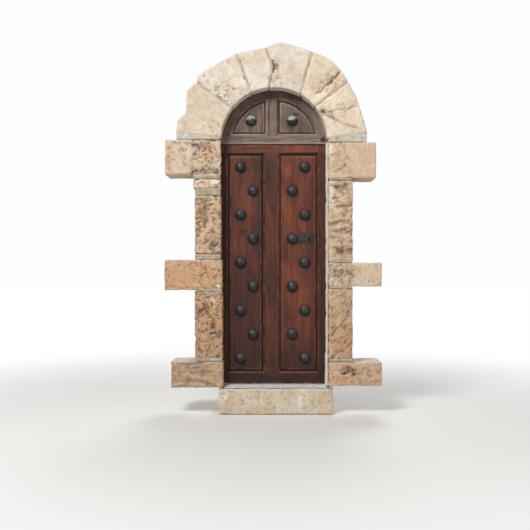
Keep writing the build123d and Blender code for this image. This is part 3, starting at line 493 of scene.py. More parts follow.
def new_finish(slot):
    finish = bpy.data.materials.new(slot)
    finish.use_nodes = True
    return finish, finish.node_tree, finish.node_tree.nodes["Principled BSDF"]


def surface(tree, shader, colour, roughness, height, depth, gloss=None):
    """Connect what a finish has made up: colour, roughness and fine relief, depth in metres."""
    feed(tree, shader.inputs["Base Color"], colour)
    feed(tree, shader.inputs["Roughness"], roughness)
    if gloss is not None:
        shader.inputs["Specular IOR Level"].default_value = gloss
    bump = add(tree, "ShaderNodeBump")
    bump.inputs["Strength"].default_value = 1.0
    bump.inputs["Distance"].default_value = depth
    feed(tree, bump.inputs["Height"], height)
    feed(tree, shader.inputs["Normal"], bump.outputs[0])


def limestone(slot, flecks, grit_depth):
    """Limestone: each block's own tone with painted highlight and shade, mottled, flecked, dark in its pits
    with dirt and painted shade, dusted on top.
    """
    finish, tree, shader = new_finish(slot)
    place = object_place(tree)
    block = kept(tree, "block_tone").outputs["Color"]
    dirt_and_shade, lime, ochre = marks(tree, "stone_marks")
    smear = marks(tree, "mortar_smear")[0]
    grit = use(tree, "grit", Place=place, Grains_Per_Metre=190.0, Fleck_Share=flecks)
    broad = mottle(tree, place, 7.0, 0.3)
    small = mottle(tree, place, 30.0, 0.7)
    speckle = mottle(tree, place, 85.0, 0.85)
    darker = mixed(tree, 1.0, block, DAMP_STONE, "MULTIPLY")
    smeared = sums(tree, "MULTIPLY", smear, remap(tree, speckle, 0.0, 0.6, 0.5, 0.95))
    # The dirt mask also paints shade in the gaps, pits, hollows, cracks and tool cuts
    colour = layered(
        tree, mixed(tree, broad, darker, block),
        (small, 0.16, STONE_SHADE), (speckle, flecks, WARM_FLECK), (ochre, 0.6, OCHRE_STAIN),
        (grit["Flecks"], 0.8, PIT_DIRT_AND_SHADE), (dirt_and_shade, 0.8, PIT_DIRT_AND_SHADE), (smeared, 1.0, MORTAR_SMEAR),
        (lime, 1.0, LIME_WASH), (dust_on(tree, place, 0.7), 1.0, STONE_DUST))
    surface(tree, shader, colour, remap(tree, small, 0.0, 1.0, 0.84, 0.97),
            grit["Height"], grit_depth, STONE_GLOSS)
    return finish


def mortar(slot, shade, grains, depth):
    """Mortar and plaster: the joint's own tone, sandy, blotched by damp, dusted on top."""
    finish, tree, shader = new_finish(slot)
    place = object_place(tree)
    ground = kept(tree, "block_tone").outputs["Color"]
    grit = use(tree, "grit", Place=place, Grains_Per_Metre=grains, Fleck_Share=0.5)
    damp = mottle(tree, place, 15.0, 0.5)
    spots = mottle(tree, place, 60.0, 0.8)
    darker = mixed(tree, 1.0, ground, shade, "MULTIPLY")
    colour = layered(
        tree, mixed(tree, damp, ground, darker),
        (spots, 0.3, MORTAR_SAND), (grit["Flecks"], 0.8, PIT_DIRT_AND_SHADE),
        (dust_on(tree, place, 0.7), 1.0, STONE_DUST))
    surface(tree, shader, colour, remap(tree, damp, 0.0, 1.0, 0.97, 0.88),
            grit["Height"], depth, STONE_GLOSS)
    return finish


def timber(slot, deep, body, bright, worn, shine):
    """Old timber: bands and fibres in three tones, pale worn arrises and painted highlight, grime and painted
    shade, iron stains.
    """
    finish, tree, shader = new_finish(slot)
    place = kept(tree, "timber_place").outputs["Vector"]
    # The marks: wear with painted highlight, grime with painted shade, iron stain with painted shade in the
    # keyhole
    wear_and_highlight, grime_and_shade, stain_and_shade = marks(tree, "timber_marks")
    warmth, darkness, paint = marks(tree, "timber_tone")
    figure = use(tree, "timber_figure", Place=place, Fibres_Per_Metre=330.0)
    fibres = figure["Fibres"]
    patches = mottle(tree, scaled(tree, place, (1.0, 1.0, 0.18)), 13.0, 0.5)
    glow = sums(tree, "MULTIPLY", warmth, sums(tree, "MULTIPLY_ADD", patches, 0.7))
    frayed_wear_and_highlight = sums(tree, "MULTIPLY", wear_and_highlight, remap(tree, fibres, 0.1, 0.9, 0.75, 0.3))
    clean = sums(tree, "SUBTRACT", 1.0, grime_and_shade)
    dust = sums(tree, "MULTIPLY", dust_on(tree, place, 0.8), clean, True)
    colour = layered(
        tree, mixed(tree, figure["Bands"], deep, body),
        (glow, 1.0, bright), (fibres, 0.34, deep), (darkness, 0.7, deep),
        (figure["Checks"], 0.8, CHECK_BLACK), (frayed_wear_and_highlight, 1.0, worn), (grime_and_shade, 0.85, GRIME_AND_SHADE_BROWN),
        (stain_and_shade, 0.7, IRON_STAIN_AND_SHADE), (paint, 1.0, OLD_PAINT), (dust, 1.0, worn))
    surface(tree, shader, colour, remap(tree, fibres, 0.0, 1.0, shine, shine + 0.2),
            figure["Height"], TIMBER_RELIEF, TIMBER_GLOSS)
    return finish


def iron(slot, ground, high, rust, rust_share, roughness, metallic):
    """Forged iron: dark scale, lighter where it is rubbed, rust in spots."""
    finish, tree, shader = new_finish(slot)
    place = object_place(tree)
    bloom = use(tree, "rust_bloom", Place=place, Amount=rust_share)
    chalked = marks(tree, "iron_marks")[0]
    colour = layered(
        tree, mixed(tree, mottle(tree, place, 24.0, 0.4), ground, high),
        (bloom["Mask"], 0.8, rust), (chalked, 1.0, CHALKED_IRON),
        (dust_on(tree, place, 0.25), 1.0, STONE_SHADE))
    unrusted = sums(tree, "SUBTRACT", 1.0, bloom["Mask"], True)
    bare = sums(tree, "SUBTRACT", unrusted, chalked, True)
    feed(tree, shader.inputs["Metallic"], sums(tree, "MULTIPLY", bare, metallic))
    surface(tree, shader, colour, remap(tree, bloom["Mask"], 0.0, 1.0, roughness, 0.9),
            bloom["Height"], IRON_RELIEF)
    return finish


STONE_GLOSS = 0.25
TIMBER_GLOSS = 0.3
# How high the fine relief of a finish stands
TIMBER_RELIEF = 0.0011
IRON_RELIEF = 0.0007
DAMP_STONE = tone(232, 224, 214)
STONE_SHADE = tone(158, 136, 112)
WARM_FLECK = tone(222, 178, 138)
# Brown of dark flecks and dirt, which also paints shade in pits, gaps and breaks
PIT_DIRT_AND_SHADE = tone(88, 66, 48)
OCHRE_STAIN = tone(196, 150, 108)
MORTAR_SMEAR = tone(198, 192, 178)
LIME_WASH = tone(226, 221, 208)
STONE_DUST = tone(206, 204, 198)
MORTAR_SAND = tone(196, 184, 162)
CHECK_BLACK = tone(24, 17, 15)
# Grime brown, which also paints shade in corners, gaps and under ledges
GRIME_AND_SHADE_BROWN = tone(36, 26, 23)
# Iron stain, which also paints shade inside the keyhole
IRON_STAIN_AND_SHADE = tone(34, 27, 26)
OLD_PAINT = tone(176, 52, 36)
CHALKED_IRON = tone(158, 160, 156)

for build in (build_mottle, build_grit, build_timber_figure, build_settled_dust, build_rust_bloom):
    build()

# Each slot's finish; a kind's own numbers stand in the order that its function takes them
FINISHES = {
    "arch_stone": limestone("arch_stone", 0.2, 0.0014),
    "jamb_stone": limestone("jamb_stone", 0.42, 0.0024),
    "sill_stone": limestone("sill_stone", 0.22, 0.0012),
    "grey_mortar": mortar("grey_mortar", tone(214, 214, 212), 260.0, 0.0018),
    "lime_plaster": mortar("lime_plaster", tone(246, 243, 237), 160.0, 0.0009),
    "leaf_wood": timber(
        "leaf_wood", tone(42, 24, 21), tone(75, 40, 32), tone(130, 67, 42), tone(132, 96, 78), 0.56),
    "tympanum_wood": timber(
        "tympanum_wood", tone(80, 59, 52), tone(122, 99, 92), tone(143, 123, 115), tone(176, 166, 152), 0.68),
    "frame_wood": timber(
        "frame_wood", tone(62, 44, 34), tone(104, 78, 60), tone(128, 98, 72), tone(150, 128, 104), 0.6),
    "wrought_iron": iron(
        "wrought_iron", tone(40, 40, 43), tone(62, 62, 66), tone(84, 58, 44), 0.3, 0.5, 0.6),
    "rusted_iron": iron(
        "rusted_iron", tone(66, 38, 34), tone(88, 50, 42), tone(108, 62, 46), 0.7, 0.75, 0.3),
    "bright_iron": iron(
        "bright_iron", tone(120, 118, 116), tone(150, 148, 144), tone(110, 76, 54), 0.15, 0.32, 0.95),
}


# Stones

PALE_HONEY = (223, 217, 207)
WARM_HONEY = (211, 200, 184)
BRIGHT_HONEY = (232, 220, 202)
PALE_OCHRE = (216, 202, 182)
PINK_BUFF = (206, 180, 156)
LIGHT_OCHRE = (212, 192, 168)
BUFF = (198, 176, 150)
OCHRE_BUFF = (197, 166, 136)
BROWN_BUFF = (179, 149, 122)
GREY_BUFF = (184, 163, 140)
SILL_CREAM = (219, 211, 193)


def even(amount):
    """The same rawness all over."""
    def rawness(points):
        return np.full(len(points), float(amount))
    return rawness


def near_door(reach, inner, outer, lean=0.0):
    """One rawness up to a reach from the middle of the door, another beyond; the line may lean."""
    def rawness(points):
        middle = points[:, 2].mean()
        line = reach + lean * (points[:, 2] - middle) + 0.02 * lumps(points, 0.09, 8)
        share = ramp(np.abs(points[:, 0]) - line, -0.02, 0.02)
        return inner + (outer - inner) * share
    return rawness


def spot(centre, half_size, amount, around):
    """A calmer face with one raw spot."""
    def rawness(points):
        ragged = oval_reach(points, centre, half_size) + 0.5 * rubble(points, 0.08, 6)
        return around + (amount - around) * falling(ragged, 0.5, 1.2)
    return rawness


def strokes(slope, pitch, length, depth):
    """Chisel furrows, a pitch apart, that run at a slope to the level and wander."""
    def dressing(points):
        turn = radians(slope)
        bend = 0.35 * lumps(points, 0.13, 3)
        along = points[:, 0] * np.cos(turn + bend * 0.4) + points[:, 2] * np.sin(turn + bend * 0.4)
        across = points[:, 2] * cos(turn) - points[:, 0] * sin(turn) + 0.5 * pitch * lumps(points, 0.07, 5)
        place = np.stack([along / length, across / pitch, 0 * along], axis=1)
        return depth * np.clip(0.4 - 0.8 * lumps(place, 1.0, 7), 0, 1)
    return dressing


def hollow(points, centre, half_size, depth, seed):
    """A broken-out hollow in the face: its depth at each point."""
    away = oval_reach(points, centre, half_size) + 0.35 * rubble(points, 0.035, seed)
    return depth * falling(away, 0.45, 1.05)


def split_line(points, start, end, seed, width, depth, step):
    """A crack along a line, with the face set back by step on its lower side."""
    run = np.array(end) - np.array(start)
    length = np.hypot(*run)
    run = run / length
    away = points[:, [0, 2]] - np.array(start)
    along = away @ run
    across = away @ np.array([-run[1], run[0]]) + 0.014 * rubble(points, 0.05, seed)
    inside = ramp(along, -0.03, 0.02) * falling(along, length - 0.02, length + 0.03)
    crack = depth * np.exp(-(across / width) ** 2)
    ledge = step * falling(across, -0.004, 0.002) * ramp(across, -0.10, -0.01)
    return (crack + ledge) * inside


# What has broken out of a face: (centre, half width and height, depth, seed)
HOLLOWS = {
    "keystone": [((-0.004, 2.893), (0.052, 0.055), 0.026, 21), ((-0.010, 2.790), (0.022, 0.040), 0.010, 20)],
    "right_springer": [((0.425, 2.520), (0.050, 0.028), 0.012, 25)],
    "left_haunch_voussoir": [((-0.470, 2.690), (0.070, 0.016), 0.008, 34),
                             ((-0.400, 2.640), (0.030, 0.030), 0.007, 35)],
    "right_foot_quoin": [((0.583, 0.338), (0.024, 0.017), 0.022, 31),
                         ((0.661, 0.332), (0.020, 0.017), 0.022, 32),
                         ((0.610, 0.368), (0.085, 0.030), 0.006, 36)],
    "left_lower_upright": [((-0.505, 0.735), (0.016, 0.045), 0.014, 37),
                           ((-0.500, 0.675), (0.050, 0.014), 0.014, 38),
                           ((-0.590, 0.865), (0.030, 0.020), 0.010, 39),
                           ((-0.590, 0.680), (0.028, 0.018), 0.009, 40)],
}
# Cracks across a face: (start, end, seed, width, depth, how far the lower side is set back)
CRACKS = {
    "keystone": [((0.062, 2.715), (0.060, 2.755), 22, 0.004, 0.016, 0.0)],
    "right_haunch_voussoir": [((0.555, 2.850), (0.470, 2.760), 23, 0.014, 0.016, 0.014),
                              ((0.480, 2.765), (0.350, 2.655), 24, 0.010, 0.012, 0.012)],
    "right_springer": [((0.400, 2.525), (0.529, 2.440), 25, 0.010, 0.012, 0.004),
                       ((0.529, 2.440), (0.691, 2.375), 26, 0.008, 0.012, 0.004),
                       ((0.462, 2.525), (0.686, 2.555), 27, 0.010, 0.010, 0.006)],
    "left_middle_quoin": [((-0.88, 1.055), (-0.46, 1.048), 33, 0.008, 0.008, 0.0)],
}


def lost_skin(points):
    """The left impost's face stands back next to the door, where its skin has gone."""
    return 0.011 * ramp(points[:, 0] + 0.02 * lumps(points, 0.08, 28), -0.695, -0.675)


def broken_out(points, node):
    """How far a stone's face is set back where pieces have come away."""
    depth = lost_skin(points) if node == "left_impost_quoin" else plain(points)
    for place in HOLLOWS.get(node, ()):
        depth = depth + hollow(points, *place)
    for line in CRACKS.get(node, ()):
        depth = depth + split_line(points, *line)
    return depth


# Each stone: slot, tone, how raw its face is, how many pits, how it was dressed
STONES = {
    "left_springer": ("arch_stone", WARM_HONEY, spot((-0.49, 2.40), (0.06, 0.10), 0.45, 0.14), 14, plain),
    "left_haunch_voussoir": (
        "arch_stone", PALE_HONEY, spot((-0.43, 2.67), (0.14, 0.10), 0.7, 0.2), 16, plain),
    "left_crown_voussoir": ("arch_stone", PALE_HONEY, even(0.12), 10, plain),
    "keystone": ("arch_stone", PALE_HONEY, spot((-0.01, 2.86), (0.07, 0.16), 0.5, 0.16), 10, plain),
    "right_haunch_voussoir": (
        "arch_stone", BRIGHT_HONEY, spot((0.45, 2.74), (0.12, 0.08), 0.55, 0.14), 8, plain),
    "right_springer": ("arch_stone", BRIGHT_HONEY, spot((0.46, 2.52), (0.12, 0.10), 0.6, 0.14), 8, plain),
    "left_impost_quoin": ("jamb_stone", WARM_HONEY, near_door(0.685, 1.0, 0.45), 30, plain),
    "left_closer": ("jamb_stone", LIGHT_OCHRE, even(0.75), 6, plain),
    "left_upper_upright": ("jamb_stone", BUFF, even(1.0), 40, plain),
    "left_middle_quoin": ("jamb_stone", OCHRE_BUFF, near_door(0.66, 0.7, 0.4), 44, plain),
    "left_lower_upright": ("jamb_stone", BROWN_BUFF, even(0.95), 60, plain),
    "left_foot_quoin": ("jamb_stone", GREY_BUFF, even(0.45), 24, strokes(0, 0.030, 0.16, 0.010)),
    "right_impost_quoin": (
        "jamb_stone", LIGHT_OCHRE, near_door(0.63, 0.42, 0.14, -0.3), 10, strokes(38, 0.030, 0.08, 0.007)),
    "right_upper_upright": (
        "jamb_stone", LIGHT_OCHRE, near_door(0.50, 0.35, 0.6), 10, strokes(14, 0.024, 0.10, 0.013)),
    "right_middle_quoin": (
        "jamb_stone", PALE_OCHRE, near_door(0.665, 0.55, 0.22), 16, strokes(-24, 0.018, 0.08, 0.007)),
    "right_lower_upright": ("jamb_stone", BUFF, even(0.6), 20, strokes(58, 0.018, 0.09, 0.010)),
    "right_foot_quoin": ("jamb_stone", PINK_BUFF, even(0.55), 36, plain),
    "sill_stone": ("sill_stone", SILL_CREAM, even(0.3), 24, plain),
}

# Where the outermost skin of a stone has turned: (centre x, centre z, half width, half height)
LIME_PATCHES = {
    "left_lower_upright": [(-0.508, 0.930, 0.020, 0.034)],
    "right_upper_upright": [(0.475, 1.835, 0.022, 0.100)],
    "left_closer": [(-0.49, 1.935, 0.04, 0.016), (-0.64, 1.945, 0.03, 0.012)],
    "right_impost_quoin": [(0.475, 2.190, 0.030, 0.060)],
    "left_middle_quoin": [(-0.46, 1.075, 0.022, 0.014)],
    "sill_stone": [(0.216, 0.13, 0.022, 0.07), (-0.44, 0.16, 0.05, 0.04)],
}
BROWN_PATCHES = {
    "right_foot_quoin": [(0.610, 0.372, 0.080, 0.032), (0.583, 0.338, 0.030, 0.022),
                         (0.661, 0.332, 0.028, 0.022)],
    "left_impost_quoin": [(-0.60, 2.24, 0.09, 0.03), (-0.56, 2.03, 0.12, 0.03)],
    "left_lower_upright": [(-0.505, 0.735, 0.022, 0.06), (-0.50, 0.675, 0.06, 0.02),
                           (-0.59, 0.87, 0.035, 0.03)],
    "left_upper_upright": [(-0.50, 1.42, 0.06, 0.06), (-0.58, 1.70, 0.05, 0.10)],
    "right_upper_upright": [(0.56, 1.90, 0.08, 0.03), (0.58, 1.36, 0.08, 0.05)],
    "right_middle_quoin": [(0.56, 1.17, 0.09, 0.06)],
}
OCHRE_PATCHES = {
    "left_middle_quoin": [(-0.74, 1.12, 0.16, 0.06), (-0.52, 1.18, 0.07, 0.08)],
    "right_lower_upright": [(0.56, 0.60, 0.12, 0.16), (0.56, 1.02, 0.05, 0.03)],
    "right_foot_quoin": [(0.56, 0.29, 0.10, 0.04)],
    "left_impost_quoin": [(-0.56, 2.16, 0.08, 0.05), (-0.88, 2.13, 0.03, 0.10)],
    "keystone": [(-0.01, 2.89, 0.07, 0.07), (-0.01, 2.79, 0.03, 0.05), (0.14, 2.87, 0.05, 0.05)],
    "left_crown_voussoir": [(-0.17, 2.96, 0.10, 0.05)],
    "left_haunch_voussoir": [(-0.40, 2.78, 0.05, 0.08)],
    "right_haunch_voussoir": [(0.42, 2.71, 0.12, 0.03), (0.50, 2.80, 0.05, 0.04)],
    "right_springer": [(0.43, 2.51, 0.06, 0.03), (0.62, 2.40, 0.10, 0.02)],
    "left_lower_upright": [(-0.50, 0.80, 0.07, 0.12)],
    "sill_stone": [(-0.36, 0.09, 0.09, 0.07), (-0.11, 0.04, 0.10, 0.03), (0.42, 0.10, 0.06, 0.07),
                   (0.10, 0.15, 0.07, 0.03)],
}
# How strongly that turn to ochre shows
OCHRE_STRENGTH = {"arch_stone": 0.6, "jamb_stone": 1.0, "sill_stone": 0.5}


def patch_mask(points, patches, seed):
    mask = np.zeros(len(points))
    for x, z, half_x, half_z in patches:
        ragged = 0.5 * rubble(points, 0.05, seed) + 0.6 * rubble(points, 0.018, seed + 1)
        away = oval_reach(points, (x, z), (half_x, half_z)) + ragged
        mask = np.maximum(mask, falling(away, 0.5, 1.2))
    return mask


def weathered(points, seed):
    """Limestone eaten by weather: 0 on its lumps, 1 at the bottom of the gaps between them."""
    bent = points + 0.010 * np.stack([lumps(points, 0.05, seed + axis) for axis in (1, 2, 3)], axis=1)
    value = plain(points)
    for share, size, more in ((0.42, 0.044, 0), (0.5, 0.023, 5), (0.42, 0.0125, 9)):
        value = value + share * lumps(bent, size, seed + more)
    return falling(value, -0.62, 0.42)


def pitted(points, out, count, seed):
    """Round pits in the faces that the weather reaches."""
    rng = np.random.default_rng(seed)
    reached = np.flatnonzero(out[:, 1] < 0.5)
    depth = np.zeros(len(points))
    for _ in range(count):
        centre = points[rng.choice(reached)]
        radius = rng.uniform(0.004, 0.012)
        away = np.linalg.norm((points - centre) * np.array([1, 1, rng.uniform(0.7, 1.6)]), axis=1)
        depth = np.maximum(depth, 0.7 * radius * falling(away, radius * 0.3, radius))
    return depth


def chipped(points, arris, count, seed):
    """Flakes knocked off the arrises."""
    rng = np.random.default_rng(seed)
    edge = np.flatnonzero(arris > 0.4 * arris.max())
    depth = np.zeros(len(points))
    for _ in range(count):
        centre = points[rng.choice(edge)]
        radius = rng.uniform(0.010, 0.030)
        away = np.linalg.norm(points - centre, axis=1) / radius
        depth = np.maximum(depth, 0.35 * radius * falling(away, 0.2, 1.0))
    return depth


def inset(points, low, high, margin=0.0003):
    """Points kept inside their solid's own box."""
    return np.clip(points, np.array(low) + margin, np.array(high) - margin)


def worn_stone(node, seed):
    slot, _, rawness, pits, dressing = STONES[node]
    in_arch = slot == "arch_stone"
    piece = netted("worn_" + node, node, STONE_NET)
    mesh = piece.data
    low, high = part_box(node)
    before = points_of(mesh)
    softness = np.clip(0.5 + 0.5 * lumps(before, 0.06, seed), 0.05, 0.9)
    points = rubbed(before, edges_of(mesh), 2 if in_arch else 5, softness)
    arris = np.linalg.norm(points - before, axis=1)
    move_points(mesh, points)
    out = points_of(mesh, "normal")
    facing = ramp(-out[:, 1], 0.3, 0.8)
    side = 1 - np.abs(out[:, 1])
    open_side = falling(points[:, 1], STONE_FACE + 0.16, STONE_FACE + 0.30)
    raw = rawness(points) * (0.35 + 0.65 * open_side)
    eaten = weathered(points, seed + 5)
    swell = 0.5 + 0.5 * np.clip(rubble(points, 0.16, seed + 8), -1, 1)
    wander = side * EDGE_WANDER * patchy(points, 0.09, seed + 11, -0.4, 0.9) * (0.4 + 0.6 * raw)
    depth = SKIN_WEAR * swell + raw * (RAW_SWELL * swell + RAW_GAPS * eaten ** 1.3) + wander
    pit = pitted(points, out, pits, seed + 40) * (0.5 + 0.5 * raw)
    chip = chipped(points, arris, 5 + int(24 * raw.mean()), seed + 50)
    tooled = patchy(points, 0.16, seed + 3, -0.5, 0.1)
    cut = facing * dressing(points) * tooled * (0.4 + 0.6 * ramp(raw, 0.2, 0.5))
    broken = facing * broken_out(points, node)
    points = points - out * (depth + pit + chip)[:, None]
    points[:, 1] += cut + broken
    if in_arch:
        radial = unit((points - np.array([0, 0, ARCH_CENTRE_Z])) * np.array([1, 0, 1]))
        beside_joint = side * within(np.einsum("ij,ij->i", out, radial), 0.3, 0.6)
        points = points + out * (JOINT_SQUEEZE * beside_joint)[:, None]
    move_points(mesh, inset(points, low, high))
    write_stone_marks(piece, node, seed, points, out, facing, raw, eaten, pit, cut, broken)
    thinned(piece, STONE_FACES_KEPT)
    set_out(piece, "surround", slot, node)


def write_stone_marks(piece, node, seed, points, out, facing, raw, eaten, pit, cut, broken):
    """Dirt and painted shade, lime, ochre, smeared mortar and the block's own tone, from how the stone has
    worn.
    """
    slot, colour = STONES[node][:2]
    low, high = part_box(node)
    damp = patch_mask(points, BROWN_PATCHES.get(node, []), seed + 59)
    # Dirt, with painted shade, in the eaten gaps, pits, hollows, cracks and tool cuts
    dirt_and_shade = (raw * ramp(eaten, 0.5, 0.95) * 0.8 + ramp(pit, 0.0008, 0.004) + 0.6 * damp
            + 0.7 * ramp(broken, 0.008, 0.022) + 0.7 * ramp(cut, 0.002, 0.010))
    spoiled = patch_mask(points, OCHRE_PATCHES.get(node, []), seed + 60) * OCHRE_STRENGTH[slot]
    ochre = np.maximum(spoiled, 0.35 * raw * patchy(points, 0.05, seed + 61, 0.0, 0.6))
    if slot == "arch_stone":
        # Painted shade along the soffit's edge, laid on as dirt and ochre
        reach = np.hypot(points[:, 0], points[:, 2] - ARCH_CENTRE_Z) - SOFFIT_RADIUS
        soffit_shade = falling(reach, 0.003, 0.016)
        dirt_and_shade = dirt_and_shade + 0.4 * soffit_shade * patchy(points, 0.05, seed + 64, -0.6, 0.3)
        ochre = np.maximum(ochre, 0.6 * soffit_shade)
    lime = patch_mask(points, LIME_PATCHES.get(node, []), seed + 62) * facing * falling(eaten, 0.3, 0.8)
    if node == "sill_stone":
        lime = np.maximum(lime, 0.75 * ramp(out[:, 2], 0.4, 0.9) * patchy(points, 0.06, 65, -0.8, 0.1))
    write_marks(piece, "stone_marks", dirt_and_shade, lime * 0.85, ochre)
    beds = np.minimum(points[:, 2] - low.z, high.z - points[:, 2])
    smear = falling(beds, 0.004, 0.020) * patchy(points, 0.05, seed + 63, -0.1, 0.35)
    write_marks(piece, "mortar_smear", smear * (slot == "jamb_stone") * 0.8, 0, 0)
    shade = 1 + 0.05 * rubble(points, 0.25, seed + 70) + 0.05 * rubble(points, 0.018, seed + 71)
    # Paler on the raw face's lumps and darker in its gaps: painted highlight and painted shade
    shade = shade + raw * (0.10 - 0.62 * eaten)
    write_marks(piece, "block_tone", *(part * shade for part in tone(*colour)))


def all_stones():
    for number, node in enumerate(STONES):
        worn_stone(node, 100 + number)


# Mortar and plaster

ARCH_JOINT_TONE = (198, 195, 186)
JAMB_JOINT_TONE = (180, 170, 151)
THRESHOLD_TONE = (216, 218, 219)
PLASTER_TONE = (250, 247, 239)


def one_tone(piece, colour, seed, blotches=1.0):
    """One tone for a whole joint, blotched, and soiled in front and near the door."""
    points = points_of(piece.data)
    shade = 1 + blotches * (0.14 * rubble(points, 0.07, seed) + 0.12 * rubble(points, 0.016, seed + 1))
    soiled = within(points[:, 0], 0.60, 0.74) * falling(points[:, 1], STONE_FACE + 0.02, STONE_FACE + 0.06)
    soiled = blotches * soiled * patchy(points, 0.05, seed + 2, -0.7, 0.3)
    parts = [part * shade * (1 - loss * soiled) for part, loss in zip(tone(*colour), (0.12, 0.24, 0.36))]
    write_marks(piece, "block_tone", *parts)


def rough_mortar(node, name, colour, seed, share, cell=MORTAR_NET, spread=0.0, push=0.0):
    """A joint's filling: it spreads to the worn arrises beside it and is pushed out, ragged, in front."""
    piece = netted(name, node, cell)
    mesh = piece.data
    points = points_of(mesh)
    out = points_of(mesh, "normal")
    middle = np.array([0.0, 0.0, ARCH_CENTRE_Z])
    away = unit((points - middle) * np.array([1, 0, 1]))
    in_arch = points[:, 2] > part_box("left_springer")[0].z + 0.02
    outwards = np.where(in_arch, np.abs(np.einsum("ij,ij->i", out, away)), np.abs(out[:, 0]))
    bedded = falling(outwards, 0.3, 0.7) * within(out[:, 1], 0.3, 0.7)
    ragged = rubble(points, 0.026, seed)
    forward = ramp(-out[:, 1], 0.4, 0.8) * push * (0.6 + 0.9 * ragged)
    uneven = 0.75 + 0.6 * rubble(points, 0.04, seed + 7)
    points = points + out * (bedded * spread * uneven)[:, None]
    points[:, 1] -= np.clip(forward, -0.003, push + 0.001)
    low, high = cad_box
    move_points(mesh, inset(points, low, high))
    one_tone(piece, colour, seed)
    thinned(piece, share)
    set_out(piece, "surround", "grey_mortar", node)


def all_mortar():
    rough_mortar("left_jamb_mortar", "left_jamb_pointing", JAMB_JOINT_TONE, 201, 0.5,
                 spread=0.007, push=0.005)
    rough_mortar("right_jamb_mortar", "right_jamb_pointing", JAMB_JOINT_TONE, 202, 0.4,
                 cell=0.004, spread=0.007, push=0.005)
    rough_mortar("arch_mortar", "arch_pointing", ARCH_JOINT_TONE, 203, 0.3,
                 cell=0.0055, spread=0.004, push=0.005)
    rough_mortar("threshold_cement", "weathered_threshold", THRESHOLD_TONE, 204, 0.5)


def reveal_plaster():
    """A skim of lime plaster on the right reveal, its front edge broken off unevenly."""
    low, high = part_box("right_reveal_plaster")
    wall = high.x
    ys = np.linspace(low.y, high.y, 12)
    zs = np.linspace(low.z, high.z, 360)
    points, faces = lattice_box(np.array([0.0, 1.0]), ys, zs)
    back = (points[:, 1] - low.y) / (high.y - low.y)
    rise = points * np.array([0, 0, 1])
    thick = 0.0022 + 0.0096 * back
    patch = falling(points[:, 2], low.z + 0.262, low.z + 0.275)
    thick = thick * (1 - 0.6 * ramp(rubble(rise, 0.11, 213, 4), -0.1, 0.7)) + 0.006 * patch * back
    edge = 0.016 * (0.6 + rubble(rise, 0.09, 211, 4))
    points[:, 1] += edge * (1 - back) ** 3
    flat = np.stack([points[:, 1], points[:, 2], plain(points)], axis=1)
    uneven = 0.0010 * (1 + rubble(flat, 0.05, 212))
    points[:, 0] = wall - (1 - points[:, 0]) * np.maximum(thick - uneven, 0.0008)
    piece = new_piece("reveal_plaster_skim", points, faces)
    one_tone(piece, PLASTER_TONE, 214, 0.5)
    set_out(piece, "surround", "lime_plaster", "right_reveal_plaster")


# Timbers

def stations(low, high, step):
    """Places from low to high, close together near both ends so that an arris can be rounded."""
    near = (0.0, 0.0012, 0.003, 0.006)
    first = [low + reach for reach in near]
    last = [high - reach for reach in reversed(near)]
    count = max(1, round((last[0] - first[-1]) / step))
    middle = np.linspace(first[-1], last[0], count + 1)[1:-1]
    return np.array(first + list(middle) + last)


def lattice_box(xs, ys, zs):
    """A closed box drawn as a net: its points and its four-sided faces."""
    lines = (xs, ys, zs)
    counts = [len(line) for line in lines]
    faces = []
    for axis in range(3):
        u = (axis + 1) % 3
        v = (axis + 2) % 3
        step_u, step_v = np.meshgrid(np.arange(counts[u] - 1), np.arange(counts[v] - 1), indexing="ij")
        for end in (0, 1):
            turn = ((0, 0), (1, 0), (1, 1), (0, 1)) if end else ((0, 0), (0, 1), (1, 1), (1, 0))
            corners = []
            for more_u, more_v in turn:
                index = [None, None, None]
                index[axis] = np.full(step_u.shape, end * (counts[axis] - 1))
                index[u] = step_u + more_u
                index[v] = step_v + more_v
                corners.append(((index[0] * counts[1] + index[1]) * counts[2] + index[2]).ravel())
            faces.append(np.stack(corners, axis=1))
    faces = np.concatenate(faces)
    used, renumbered = np.unique(faces, return_inverse=True)
    first, rest = np.divmod(used, counts[1] * counts[2])
    second, third = np.divmod(rest, counts[2])
    points = np.stack([xs[first], ys[second], zs[third]], axis=1)
    return points, renumbered.reshape(-1, 4)


def grain_shift(seed):
    """Where in the grain's figure a timber was cut."""
    return np.random.default_rng(seed).uniform(-5, 5, 3)


def grain_relief(place, seed):
    """How far weather has eaten into the soft wood between the fibres."""
    soft = lumps(place * np.array([1, 1, 0.05]), 0.007, seed)
    broad = lumps(place * np.array([1, 1, 0.10]), 0.024, seed + 1)
    return 0.00035 * (1 + soft) + 0.0005 * (1 + broad)


def checks(place, count, seed, width=0.0022, depth=0.004):
    """Drying cracks that run with the grain."""
    rng = np.random.default_rng(seed)
    low = place.min(axis=0)
    high = place.max(axis=0)
    total = np.zeros(len(place))
    for _ in range(count):
        across = rng.uniform(low[0], high[0])
        middle = rng.uniform(low[2], high[2])
        half = rng.uniform(0.04, 0.22)
        wander = across + 0.004 * np.sin((place[:, 2] - middle) * rng.uniform(8, 20))
        line = np.exp(-((place[:, 0] - wander) / width) ** 2)
        total = np.maximum(total, depth * line * within(place[:, 2] - middle, half * 0.5, half))
    return total


def crack_grime(crack):
    return ramp(crack, 0.001, 0.003)


